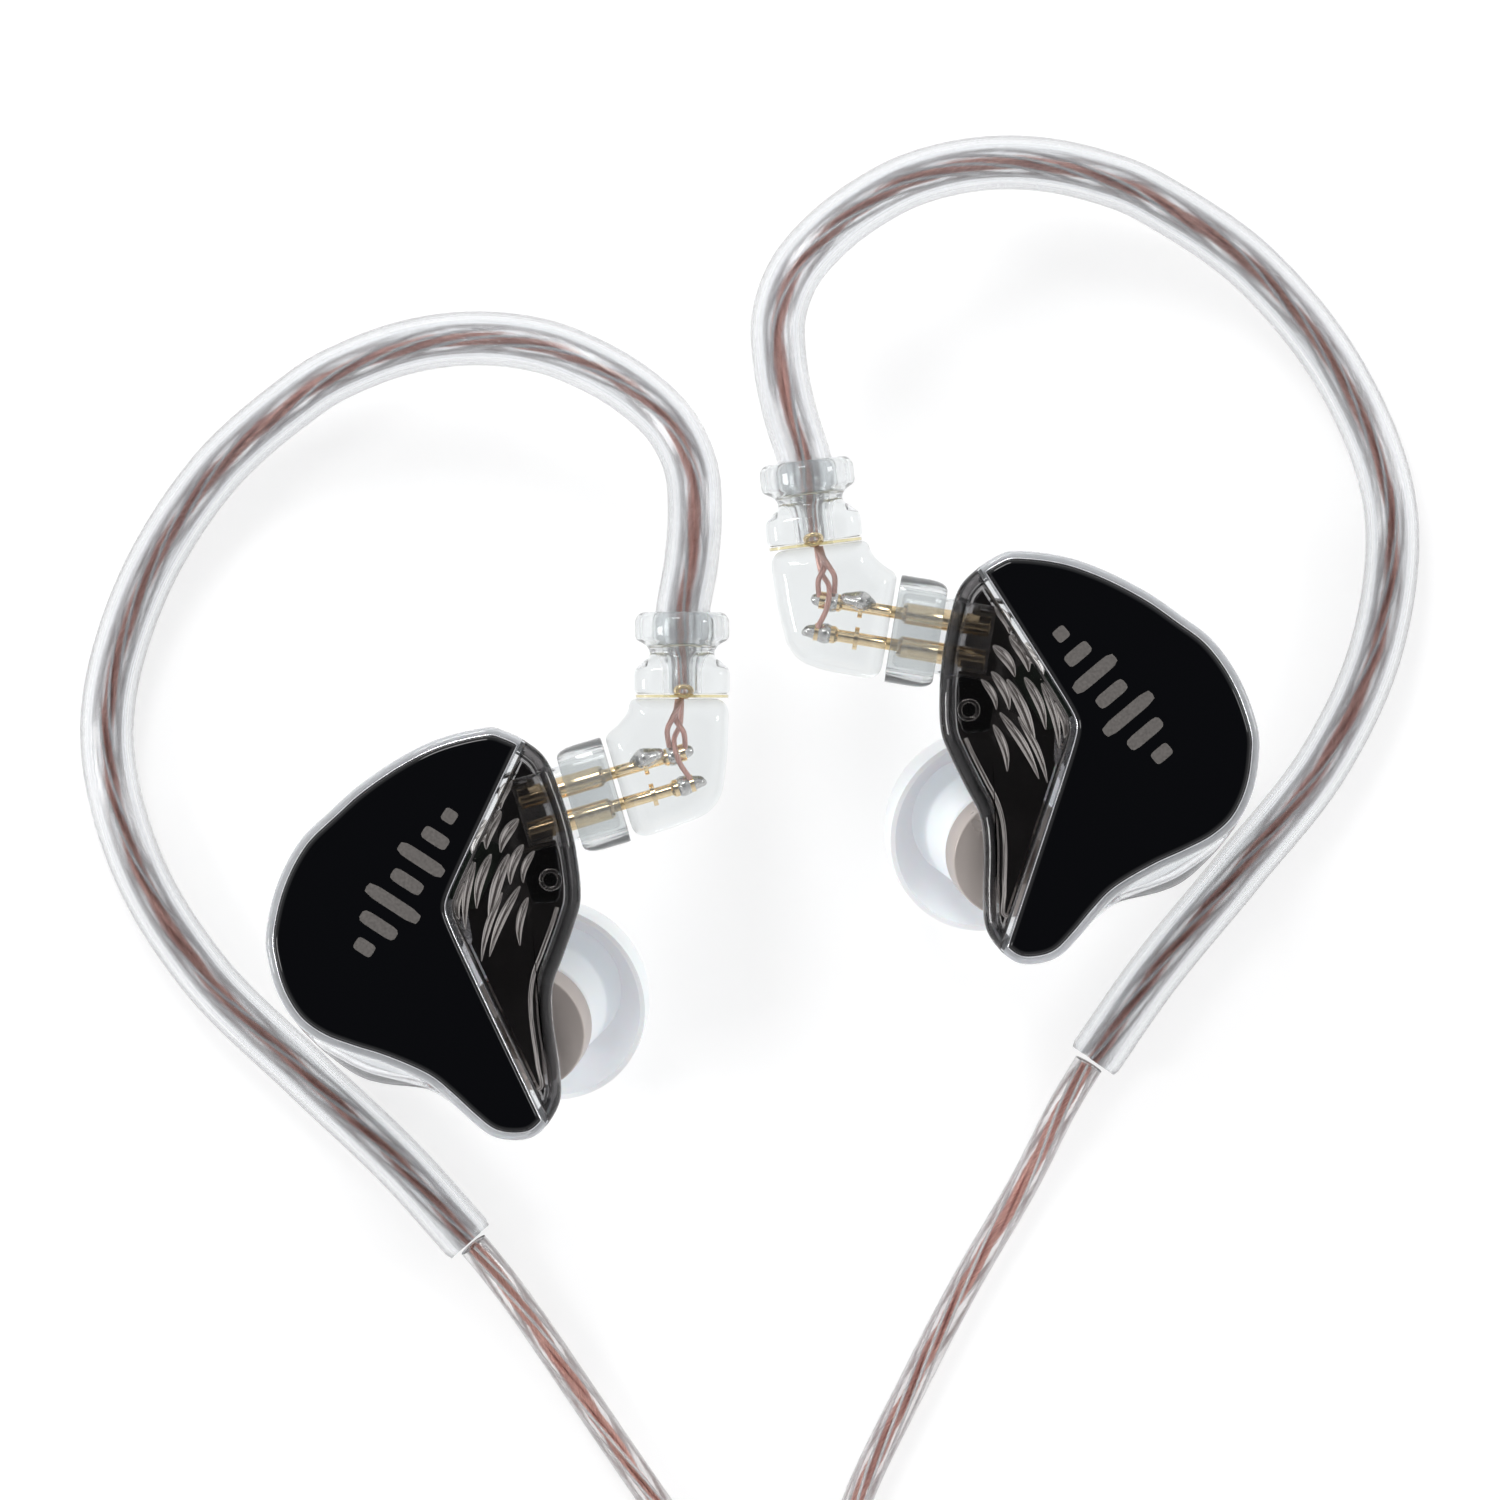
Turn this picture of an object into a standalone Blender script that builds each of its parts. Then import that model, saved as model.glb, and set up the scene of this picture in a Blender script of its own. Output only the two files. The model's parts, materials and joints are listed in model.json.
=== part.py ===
"""In ear monitors: two clear earpieces on a detachable cable with formed ear hooks.

Metres, +Z up. The set lies on z = 0 with its faceplates up, and the origin is under its middle.
Each side is drawn as a left one, in its own frame: x and y from the seat where the plug's hood
meets the earpiece, z from the surface it lies on. The right side is the left one mirrored and turned.
"""

import math

import bmesh
import bpy
import numpy as np
from mathutils import Matrix, Vector

MM = 0.001

# Fits
GAP = 0.3 * MM
FINE_GAP = 0.15 * MM

# Where each side lies: seat of its plug, and how far it is turned
SEAT_LEFT = (-11.3 * MM, -6.6 * MM)
SEAT_RIGHT = (11.8 * MM, 3.8 * MM)
TURN_RIGHT = math.radians(7.1)

# Ear shell
SHELL_LENGTH = 25.7 * MM
SHELL_DEPTH = 7.6 * MM
SHELL_WALL = 1.0 * MM
SHELL_FULLNESS = 0.8
WAIST_SHARE = 0.579
FLANK_BULGE = 1.5 * MM
FLANK_WIDTH = 3.5 * MM
RIM_DRAWN_LENGTH = 25.7
RIM_POINTS = (
    (-5.1, 4.7), (-8.1, 4.0), (-10.6, 2.8), (-13.1, 1.1), (-14.9, -0.5), (-16.8, -2.4),
    (-18.2, -5.1), (-18.9, -8.2), (-18.7, -10.1), (-18.1, -12.0), (-17.0, -13.7), (-15.5, -14.8),
    (-13.7, -15.5), (-11.5, -16.2), (-9.0, -17.3), (-7.6, -18.4), (-6.2, -19.7), (-4.9, -20.7),
    (-3.6, -21.0), (-2.25, -20.8), (-1.2, -19.8), (-0.55, -18.4), (-0.6, -16.6), (-1.05, -13.2),
    (-1.0, -11.3), (-0.4, -9.6), (0.3, -7.6), (0.7, -6.0), (0.55, -3.8), (0.05, -1.3),
    (-0.7, 1.0), (-1.55, 2.85), (-2.75, 3.85), (-3.95, 4.45),
)
BELLY_CENTRE = (-9.2, -9.9)
FLANK_CENTRE = (-12.0, -16.0)

# Cover and faceplate
COVER_THICKNESS = 1.6 * MM
COVER_FLOOR = 0.55 * MM
COVER_CHAMFER = 0.3 * MM
RIM_WIDTH = 0.55 * MM
FACEPLATE_PROUD = 0.5 * MM
FACEPLATE_EDGE = 0.5 * MM
DIVIDE_VERTEX = (-7.8, -6.5)
DIVIDE_SLOPE = 0.476
DIVIDE_ROUNDING = 0.65 * MM
DIVIDE_GROOVE = 0.3 * MM
VENT_CENTRE = (-1.2, -4.8)
VENT_RADIUS = 0.7 * MM
VENT_BORE = 0.4 * MM
VENT_HEIGHT = 1.2 * MM

# Nozzle and eartip
NOZZLE_CENTRE = (-2.2, -13.4)
NOZZLE_LEAN = math.radians(22.0)
NOZZLE_HEADING = math.radians(52.0)
NOZZLE_RADIUS = 2.6 * MM
NOZZLE_LIP = 0.2 * MM
NOZZLE_LENGTH = 5.2 * MM
NOZZLE_BORE = 1.9 * MM
NOZZLE_ROOT_STEP = 1.3 * MM
NOZZLE_ROOT_DEPTH = 3.0 * MM
SCREEN_THICKNESS = 0.3 * MM
EARTIP_RADIUS = 6.4 * MM
EARTIP_LENGTH = 7.5 * MM
EARTIP_WALL = 0.7 * MM
EARTIP_SKIRT_START = 2.7 * MM
BELLY_BELOW_SEAT = 0.7 * MM

# Dynamic driver
DRIVER_CENTRE = (-11.1, -8.5)
DRIVER_RADIUS = 5.0 * MM
DRIVER_RISE_SHARE = 0.355
DRIVER_WALL = 0.5 * MM
MAGNET_RADIUS = 2.4 * MM
MAGNET_CAP = 0.85 * MM
COIL_RADIUS = 1.9 * MM
COIL_WALL = 0.3 * MM
DIAPHRAGM_THICKNESS = 0.25 * MM
BOARD_CENTRE = (-6.1, -4.2)
BOARD_SIZE = (4.4 * MM, 2.6 * MM, 0.6 * MM)
BOARD_TURN = math.radians(64.0)
BOARD_BELOW_RIM = 1.0 * MM

# Two-pin connector
CONNECTOR_HEADING = math.radians(16.5)
PIN_RADIUS = 0.39 * MM
PIN_SPACING = 2.0 * MM
PIN_REACH = 1.6 * MM
PIN_TAIL = 8.6 * MM
SOLDER_CUP_RADIUS = 0.6 * MM
SOLDER_CUP_LENGTH = 1.8 * MM
SOCKET_WALL = 0.21 * MM
BLOCK_SIZE = (4.8 * MM, 2.8 * MM)
BLOCK_INSIDE = 3.2 * MM
BLOCK_OUTSIDE = 2.5 * MM
BLOCK_BELOW_RIM = 0.8 * MM
HOOD_LENGTH = 3.0 * MM
HOOD_WALL = (0.7 * MM, 0.8 * MM)
HOOD_ROUNDING = 1.6 * MM
PLUG_THICKNESS = 5.2 * MM
PLUG_ROUNDING = 0.9 * MM
PLUG_OUTLINE = (
    (7.6, -1.2), (8.9, -0.5), (9.55, 0.55), (9.85, 2.8), (9.95, 6.5), (3.75, 6.5), (3.65, 5.7), (2.95, 4.8),
)

# Strain relief
RELIEF_X = 7.0 * MM
RELIEF_START = 6.5 * MM
RELIEF_SHOULDER = 8.4 * MM
RELIEF_NECK = 9.25 * MM
FLANGE_START = 9.85 * MM
FLANGE_END = 11.9 * MM
NECK_RADIUS = 1.95 * MM
FLANGE_RADIUS = 2.95 * MM
RELIEF_HALF_WIDTH = 3.0 * MM
SLEEVE_INSET = 1.6 * MM
CABLE_END_IN_PLUG = 2.6 * MM

# Ear hook and cables
SLEEVE_RADIUS = 1.7 * MM
CABLE_RADIUS = 0.95 * MM
HOOK_FALL = 0.55
HOOK_POINTS = (
    (7.0, 10.3), (7.05, 12.0), (7.6, 15.2), (7.8, 18.3), (7.5, 21.1), (6.2, 23.7), (3.95, 25.8),
    (1.3, 27.4), (-1.8, 28.6), (-5.5, 29.1), (-9.3, 28.8), (-13.0, 27.7), (-16.8, 25.7),
    (-22.7, 20.5), (-27.3, 13.0), (-29.3, 4.6), (-27.5, -3.7), (-23.1, -10.9), (-16.8, -17.1),
    (-11.0, -22.6), (-6.4, -27.7),
)
LEFT_CABLE_POINTS = (
    (-17.5, -34.5, 1.7), (-16.2, -36.0, 1.3), (-14.1, -38.9, 0.95), (-12.2, -41.7, 0.95),
    (-9.7, -45.4, 0.95), (-6.4, -50.2, 0.95), (-3.2, -54.8, 0.95), (-1.3, -57.5, 1.1), (0.6, -60.1, 1.4),
)
RIGHT_CABLE_POINTS = (
    (21.3, -23.1, 1.7), (19.7, -25.5, 1.3), (17.6, -30.1, 0.95), (14.7, -34.9, 0.95),
    (12.2, -39.4, 0.95), (9.9, -44.0, 0.95), (6.8, -50.2, 0.95), (5.4, -55.0, 1.4), (5.1, -60.0, 2.5),
    (5.8, -63.6, 3.5), (6.6, -66.3, 3.8),
)

# Wound length, its tie and the splitter inside it
COIL_CENTRE = (-10.0 * MM, -76.0 * MM)
COIL_INNER = 7.8 * MM
COIL_OUTER = 17.8 * MM
COIL_HEIGHT = 11.3 * MM
TIE_THICKNESS = 0.6 * MM
TIE_WIDTH = 4.5 * MM
TIE_ANGLE = math.radians(200.0)
SPLITTER_LENGTH = 7.0 * MM
SPLITTER_RADIUS = 2.2 * MM
SPLITTER_OFFSET = (-3.2 * MM, -0.9 * MM)

# Main cable to the plug
MAIN_RADIUS = 1.2 * MM
MAIN_ARC_START = math.radians(80.0)
MAIN_ARC_END = math.radians(-90.0)
MAIN_ARC_STEPS = 12
MAIN_CABLE_POINTS = ((-15.0, -95.5, 1.2), (-20.0, -95.6, 1.7), (-24.0, -95.6, 2.9), (-27.7, -95.6, 3.6))

# 3.5 mm stereo plug
JACK_CENTRE = (-36.5 * MM, -95.6 * MM)
JACK_BODY_SIZE = (9.5 * MM, 9.0 * MM, 7.2 * MM)
JACK_ROUNDING = 1.2 * MM
JACK_RELIEF_LENGTH = 3.3 * MM
JACK_RELIEF_RADIUS = (1.9 * MM, 2.8 * MM)
JACK_RADIUS = 1.75 * MM
JACK_SLEEVE_LENGTH = 6.5 * MM
JACK_RING_LENGTH = 2.3 * MM
JACK_INSULATOR_LENGTH = 0.4 * MM
JACK_TIP_LENGTH = 3.8 * MM
JACK_TIP_NECK = 1.1 * MM

# Roundness
RIM_SAMPLES = 40
FACEPLATE_RIM_SAMPLES = 30
FACEPLATE_LINE_SAMPLES = 14
HOOK_SAMPLES = 36
ROUND_SMALL = 12
ROUND_LARGE = 20


# ---------------------------------------------------------------------------------------------------------
# Scene, materials and placing
# ---------------------------------------------------------------------------------------------------------


def clear_scene():
    for obj in list(bpy.data.objects):
        bpy.data.objects.remove(obj, do_unlink=True)


def make_material(name, colour, roughness, metallic=0.0):
    material = bpy.data.materials.new(name)
    material.use_nodes = True
    shader = material.node_tree.nodes["Principled BSDF"]
    shader.inputs["Base Color"].default_value = (*colour, 1.0)
    shader.inputs["Roughness"].default_value = roughness
    shader.inputs["Metallic"].default_value = metallic
    material.diffuse_color = (*colour, 1.0)
    return material


def make_materials():
    return {
        "black": make_material("gloss_black", (0.01, 0.01, 0.012), 0.08),
        "smoke": make_material("smoky_clear", (0.05, 0.045, 0.045), 0.06),
        "clear": make_material("clear_plastic", (0.78, 0.8, 0.82), 0.08),
        "silicone": make_material("silicone", (0.75, 0.77, 0.78), 0.45),
        "gold": make_material("gold_plate", (0.85, 0.62, 0.3), 0.25, 1.0),
        "steel": make_material("steel", (0.6, 0.6, 0.62), 0.3, 1.0),
        "copper": make_material("copper", (0.7, 0.36, 0.24), 0.35, 1.0),
        "cable": make_material("twisted_cable", (0.66, 0.6, 0.58), 0.3),
        "film": make_material("driver_film", (0.65, 0.55, 0.4), 0.4),
        "board": make_material("circuit_board", (0.05, 0.16, 0.1), 0.5),
        "strap": make_material("strap", (0.03, 0.03, 0.03), 0.8),
    }


def add_empty(name, parent, location, turn=0.0):
    empty = bpy.data.objects.new(name, None)
    empty.location = location
    empty.rotation_euler = (0.0, 0.0, turn)
    empty.parent = parent
    empty.empty_display_size = 3 * MM
    bpy.context.collection.objects.link(empty)
    return empty


class Place:
    """Where pieces go: a parent empty, the empty's place in the side's frame, and whether x is mirrored."""

    def __init__(self, parent=None, offset=(0.0, 0.0, 0.0), mirrored=False, prefix=""):
        self.parent = parent
        self.offset = Vector(offset)
        self.mirrored = mirrored
        self.prefix = prefix

    def flip(self, point):
        x, y, z = point
        return (-x if self.mirrored else x, y, z)

    def link(self, obj, material):
        obj.parent = self.parent
        obj.location = -self.offset
        obj.data.materials.append(material)
        bpy.context.collection.objects.link(obj)
        return obj


def add_solid(place, name, shape, material):
    """Turns a bmesh drawn in the side's frame into a named piece."""
    if place.mirrored:
        bmesh.ops.scale(shape, vec=(-1.0, 1.0, 1.0), verts=shape.verts)
    bmesh.ops.recalc_face_normals(shape, faces=shape.faces)
    mesh = bpy.data.meshes.new(place.prefix + name)
    shape.to_mesh(mesh)
    shape.free()
    mesh.shade_smooth()
    mesh.set_sharp_from_angle(angle=math.radians(35.0))
    return place.link(bpy.data.objects.new(place.prefix + name, mesh), material)


def cut(piece, place, name, shape, material):
    """Cuts a bmesh shape out of a piece with a Boolean."""
    cutter = add_solid(place, name, shape, material)
    cutter.hide_render = True
    cutter.display_type = "WIRE"
    boolean = piece.modifiers.new(name, "BOOLEAN")
    boolean.operation = "DIFFERENCE"
    boolean.solver = "EXACT"
    boolean.object = cutter


# ---------------------------------------------------------------------------------------------------------
# Curves and outlines
# ---------------------------------------------------------------------------------------------------------


def smooth_curve(points, count, closed=False):
    """Cubic curve through the points, sampled evenly along its length."""
    knots = np.array(points, float)
    if closed:
        knots = np.vstack([knots[-1], knots, knots[0], knots[1]])
    else:
        knots = np.vstack([2 * knots[0] - knots[1], knots, 2 * knots[-1] - knots[-2]])
    steps = np.sqrt(np.linalg.norm(np.diff(knots, axis=0), axis=1))
    at = np.concatenate([[0.0], np.cumsum(steps)])[:, None]
    slopes = (knots[2:] - knots[:-2]) / (at[2:] - at[:-2])
    share = np.linspace(0.0, 1.0, 25)[:-1, None]
    dense = []
    for i in range(len(knots) - 3):
        span = at[i + 2] - at[i + 1]
        start, end = knots[i + 1], knots[i + 2]
        lead, trail = slopes[i] * span, slopes[i + 1] * span
        dense.append(
            (2 * share**3 - 3 * share**2 + 1) * start + (share**3 - 2 * share**2 + share) * lead
            + (3 * share**2 - 2 * share**3) * end + (share**3 - share**2) * trail
        )
    dense = np.vstack(dense + [knots[-2][None, :]])
    return evenly(dense, count + 1)[:-1] if closed else evenly(dense, count)


def outward_normals(outline):
    """Unit normals of a counter-clockwise outline."""
    along = np.roll(outline, -1, axis=0) - np.roll(outline, 1, axis=0)
    along /= np.linalg.norm(along, axis=1)[:, None]
    return np.column_stack([along[:, 1], -along[:, 0]])


def inset(outline, distance):
    return outline - outward_normals(outline) * distance


def in_shell(point):
    """A point drawn on the shell, at the shell's real size."""
    return np.array(point, float) * SHELL_LENGTH / RIM_DRAWN_LENGTH


def rim_outline():
    return in_shell(smooth_curve(RIM_POINTS, RIM_SAMPLES, closed=True))


def waist_outline():
    """The rim, swollen along the flank that shows below the faceplate."""
    rim = rim_outline()
    normals = outward_normals(rim)
    near = np.exp(-(((rim[:, 0] - in_shell(FLANK_CENTRE)[0]) / FLANK_WIDTH) ** 2))
    swell = FLANK_BULGE * near * np.clip(-normals[:, 1], 0.0, 1.0)
    return rim + normals * swell[:, None]


def divide_x(y):
    """The line between faceplate and window: a hyperbola that runs into two straight lines."""
    vertex = in_shell(DIVIDE_VERTEX)
    return vertex[0] + DIVIDE_SLOPE * np.sqrt((y - vertex[1]) ** 2 + DIVIDE_ROUNDING**2)


def evenly(points, count):
    """Points spread evenly along a run of straight steps, with both ends kept."""
    along = np.concatenate([[0.0], np.cumsum(np.linalg.norm(np.diff(points, axis=0), axis=1))])
    wanted = np.linspace(0.0, along[-1], count)
    return np.column_stack([np.interp(wanted, along, points[:, k]) for k in range(points.shape[1])])


def faceplate_part(outline, back):
    """The part of an outline on the faceplate's side of the dividing line moved back by a distance."""
    beyond = outline[:, 0] - divide_x(outline[:, 1]) + back
    first = next(i for i in range(len(outline)) if beyond[i] < 0 <= beyond[i - 1])
    outline, beyond = np.roll(outline, -first, axis=0), np.roll(beyond, -first)
    last = int(np.argmax(beyond >= 0)) - 1

    def crossing(i, j):
        share = beyond[i] / (beyond[i] - beyond[j])
        return outline[i] + (outline[j] - outline[i]) * share

    top, bottom = crossing(0, -1), crossing(last, last + 1)
    around = evenly(np.vstack([top, outline[: last + 1], bottom]), FACEPLATE_RIM_SAMPLES)
    heights = np.linspace(bottom[1], top[1], FACEPLATE_LINE_SAMPLES)[1:-1]
    return np.vstack([around, np.column_stack([divide_x(heights) - back, heights])])


def rounded_rectangle(width, height, radius, corner_points=4):
    """Counter-clockwise outline with quarter-circle corners."""
    outline = []
    for k, (sx, sy) in enumerate(((1, 1), (-1, 1), (-1, -1), (1, -1))):
        for angle in np.linspace(k * math.pi / 2, (k + 1) * math.pi / 2, corner_points):
            x = sx * (width / 2 - radius) + radius * math.cos(angle)
            y = sy * (height / 2 - radius) + radius * math.sin(angle)
            outline.append((x, y))
    return np.array(outline)


# ---------------------------------------------------------------------------------------------------------
# Solids
# ---------------------------------------------------------------------------------------------------------


def at_height(outline, z):
    return np.column_stack([outline, np.full(len(outline), z)])


def loft(rings, ring_shaped=False):
    """A skin over rings of equal counts: capped at both ends, or joined from last to first."""
    shape = bmesh.new()
    rows = [[shape.verts.new(point) for point in ring] for ring in rings]
    pairs = list(zip(rows, rows[1:]))
    if ring_shaped:
        pairs.append((rows[-1], rows[0]))
    else:
        shape.faces.new(rows[0])
        shape.faces.new(rows[-1])
    count = len(rows[0])
    for low, high in pairs:
        for i in range(count):
            j = (i + 1) % count
            shape.faces.new((low[i], low[j], high[j], high[i]))
    return shape


def prism(outline, low, high):
    return loft([at_height(outline, low), at_height(outline, high)])


def turned(profile, sides, ring_shaped=False):
    """A profile of (height, radius) points turned about z."""
    angles = np.arange(sides) * 2 * math.pi / sides
    circle = np.column_stack([np.cos(angles), np.sin(angles)])
    return loft([at_height(circle * radius, height) for height, radius in profile], ring_shaped)


def cylinder(radius, low, high, sides=ROUND_SMALL):
    return turned(((low, radius), (high, radius)), sides)


def pipe(outer, inner, low, high, sides=ROUND_SMALL):
    return turned(((low, outer), (high, outer), (high, inner), (low, inner)), sides, ring_shaped=True)


def moved(shape, matrix):
    bmesh.ops.transform(shape, matrix=matrix, verts=shape.verts)
    return shape


def axis_frame(origin, axis, up=(0.0, 0.0, 1.0)):
    """Matrix that takes local z to the axis and local y as near to up as it can be."""
    z = Vector(axis).normalized()
    x = Vector(up).cross(z).normalized()
    y = z.cross(x)
    matrix = Matrix((x, y, z)).transposed().to_4x4()
    matrix.translation = Vector(origin)
    return matrix


def add_tube(place, name, points, radius, material, wall=None):
    """A round cord along the points, or a hollow sleeve when it has a wall."""
    curve = bpy.data.curves.new(place.prefix + name, "CURVE")
    curve.dimensions = "3D"
    curve.bevel_depth = radius
    curve.bevel_resolution = 2
    curve.use_fill_caps = wall is None
    spline = curve.splines.new("POLY")
    spline.points.add(len(points) - 1)
    for target, point in zip(spline.points, points):
        target.co = (*place.flip(point), 1.0)
        target.radius = 1.0
    tube = place.link(bpy.data.objects.new(place.prefix + name, curve), material)
    if wall is not None:
        solidify = tube.modifiers.new("wall", "SOLIDIFY")
        solidify.thickness = wall
        solidify.offset = -1.0
        solidify.use_rim = True
    return tube


# ---------------------------------------------------------------------------------------------------------
# Heights and axes that pieces share
# ---------------------------------------------------------------------------------------------------------


def nozzle_axis():
    across = math.sin(NOZZLE_LEAN)
    return Vector((
        across * math.cos(NOZZLE_HEADING),
        across * math.sin(NOZZLE_HEADING),
        -math.cos(NOZZLE_LEAN),
    ))


def eartip_profile():
    """Closed (distance, radius) profile from the end that faces the shell."""
    bore = NOZZLE_RADIUS + NOZZLE_LIP + FINE_GAP
    core = bore + EARTIP_WALL
    end = EARTIP_LENGTH
    skirt = EARTIP_SKIRT_START
    dome = end - skirt
    outer = [
        (skirt + dome * math.sin(turn), core + (EARTIP_RADIUS - core) * math.cos(turn) ** 0.75)
        for turn in np.linspace(0.0, math.radians(84.0), 6)
    ]
    inner = [
        (skirt + (dome - EARTIP_WALL * 1.6) * math.sin(turn),
         core + (EARTIP_RADIUS - EARTIP_WALL - core) * math.cos(turn) ** 0.75)
        for turn in np.linspace(math.radians(84.0), 0.0, 5)
    ]
    return [(0.0, bore), (0.0, core)] + inner + outer + [(end, bore)]


def seat_height():
    """Height of the eartip's inner end, with its lowest point on the surface."""
    reach = max(
        distance * math.cos(NOZZLE_LEAN) + radius * math.sin(NOZZLE_LEAN)
        for distance, radius in eartip_profile()
    )
    return reach


def belly_z():
    return seat_height() - BELLY_BELOW_SEAT


def waist_z():
    return belly_z() + SHELL_DEPTH * WAIST_SHARE


def rim_z():
    return belly_z() + SHELL_DEPTH


def connector_z():
    return rim_z() - BLOCK_BELOW_RIM - BLOCK_SIZE[1] / 2


def board_z():
    return rim_z() - BOARD_BELOW_RIM - BOARD_SIZE[2]


def driver_z():
    return belly_z() + SHELL_DEPTH * DRIVER_RISE_SHARE


def driver_height():
    return board_z() - GAP - driver_z()


def nozzle_root():
    return NOZZLE_RADIUS + NOZZLE_ROOT_STEP


def nozzle_frame():
    x, y = in_shell(NOZZLE_CENTRE)
    return axis_frame((x, y, seat_height()), nozzle_axis())


def connector_axis():
    return Vector((math.cos(CONNECTOR_HEADING), math.sin(CONNECTOR_HEADING), 0.0))


def connector_frame(across=0.0):
    """Local z runs out of the ear along the pins, local x across them, local y up."""
    sideways = Vector((-math.sin(CONNECTOR_HEADING), math.cos(CONNECTOR_HEADING), 0.0))
    origin = sideways * across + Vector((0.0, 0.0, connector_z()))
    return axis_frame(origin, connector_axis())


def relief_frame():
    """Local z runs up the strain relief, towards the hook."""
    return axis_frame((RELIEF_X, 0.0, connector_z()), (0.0, 1.0, 0.0))


def hook_path(count):
    """Smooth route of the hook, which falls from the plug's height to the surface."""
    flat = smooth_curve(HOOK_POINTS, count) * MM
    along = np.linspace(0.0, 1.0, count)
    share = np.clip(along / HOOK_FALL, 0.0, 1.0)
    fall = share * share * (3.0 - 2.0 * share)
    heights = connector_z() + (SLEEVE_RADIUS - connector_z()) * fall
    return np.column_stack([flat, heights])


# ---------------------------------------------------------------------------------------------------------
# Ear shell
# ---------------------------------------------------------------------------------------------------------


def belly_rings(outline, bottom, steps, last):
    """Rings from the waist down to near the belly's lowest point."""
    centre = in_shell(BELLY_CENTRE)
    rings = []
    for turn in np.linspace(0.0, last, steps):
        size = math.cos(turn) ** SHELL_FULLNESS
        z = waist_z() - (waist_z() - bottom) * math.sin(turn)
        rings.append(at_height(centre + (outline - centre) * size, z))
    return rings


def make_rear_shell(place, materials):
    rim, waist = rim_outline(), waist_outline()
    wall = SHELL_WALL
    last = math.radians(80.0)
    outside = belly_rings(waist, belly_z(), 7, last)[::-1] + [at_height(rim, rim_z())]
    inside = belly_rings(inset(waist, wall), belly_z() + wall, 6, last)
    shape = loft(outside + [at_height(inset(rim, wall), rim_z())] + inside)
    shell = add_solid(place, "rear_shell", shape, materials["clear"])

    root = cylinder(nozzle_root() + FINE_GAP, -NOZZLE_ROOT_DEPTH - 2 * MM, 2 * MM, ROUND_LARGE)
    cut(shell, place, "cut_nozzle_hole", moved(root, nozzle_frame()), materials["clear"])

    width, height = BLOCK_SIZE
    window = rounded_rectangle(width + 2 * FINE_GAP, height + 2 * FINE_GAP, 1.0 * MM)
    hole = prism(window, -BLOCK_INSIDE, 2 * MM)
    cut(shell, place, "cut_socket_hole", moved(hole, connector_frame()), materials["clear"])


def make_cover(place, materials):
    low = rim_z() + FINE_GAP
    high = low + COVER_THICKNESS
    rim = rim_outline()
    shape = loft([
        at_height(rim, low),
        at_height(rim, high - COVER_CHAMFER),
        at_height(inset(rim, COVER_CHAMFER), high),
    ])
    cover = add_solid(place, "cover_shell", shape, materials["smoke"])
    recess = faceplate_part(inset(rim, RIM_WIDTH - FINE_GAP), DIVIDE_GROOVE / 2)
    shape = prism(recess, low + COVER_FLOOR, high + 1 * MM)
    cut(cover, place, "cut_faceplate_recess", shape, materials["smoke"])


def make_faceplate(place, materials):
    low = rim_z() + FINE_GAP + COVER_FLOOR + FINE_GAP
    high = rim_z() + FINE_GAP + COVER_THICKNESS + FACEPLATE_PROUD
    rim = rim_outline()

    def ring(back, z):
        part = faceplate_part(inset(rim, RIM_WIDTH + back), DIVIDE_GROOVE / 2 + FINE_GAP + back)
        return at_height(part, z)

    shape = loft([
        ring(0.0, low),
        ring(0.0, high - FACEPLATE_EDGE),
        ring(FACEPLATE_EDGE * 0.3, high - FACEPLATE_EDGE * 0.3),
        ring(FACEPLATE_EDGE, high),
    ])
    add_solid(place, "faceplate", shape, materials["black"])


def make_vent_ring(place, materials):
    x, y = in_shell(VENT_CENTRE)
    top = rim_z()
    ring = pipe(VENT_RADIUS, VENT_BORE, top - VENT_HEIGHT, top - FINE_GAP)
    add_solid(place, "vent_ring", moved(ring, Matrix.Translation((x, y, 0.0))), materials["smoke"])


# ---------------------------------------------------------------------------------------------------------
# Nozzle and eartip
# ---------------------------------------------------------------------------------------------------------


def make_nozzle(place, materials):
    root, lip = nozzle_root(), NOZZLE_RADIUS + NOZZLE_LIP
    end = NOZZLE_LENGTH
    seat = end - SCREEN_THICKNESS - 2 * FINE_GAP
    screen = NOZZLE_BORE + NOZZLE_LIP
    profile = (
        (-NOZZLE_ROOT_DEPTH, NOZZLE_BORE), (-NOZZLE_ROOT_DEPTH, root), (-1.0 * MM, root),
        (-GAP, NOZZLE_RADIUS + 0.5 * MM), (-GAP, NOZZLE_RADIUS), (end - 1.0 * MM, NOZZLE_RADIUS),
        (end - 0.7 * MM, lip), (end, lip), (end, screen), (seat, screen), (seat, NOZZLE_BORE),
    )
    shape = moved(turned(profile, ROUND_LARGE, ring_shaped=True), nozzle_frame())
    add_solid(place, "nozzle", shape, materials["film"])


def make_nozzle_screen(place, materials):
    high = NOZZLE_LENGTH - FINE_GAP
    radius = NOZZLE_BORE + NOZZLE_LIP - FINE_GAP
    shape = cylinder(radius, high - SCREEN_THICKNESS, high, ROUND_SMALL)
    add_solid(place, "nozzle_screen", moved(shape, nozzle_frame()), materials["steel"])


def make_eartip(place, materials):
    shape = moved(turned(eartip_profile(), ROUND_LARGE, ring_shaped=True), nozzle_frame())
    add_solid(place, "eartip", shape, materials["silicone"])


# ---------------------------------------------------------------------------------------------------------
# Driver
# ---------------------------------------------------------------------------------------------------------


def driver_place():
    x, y = in_shell(DRIVER_CENTRE)
    return Matrix.Translation((x, y, driver_z()))


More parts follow.
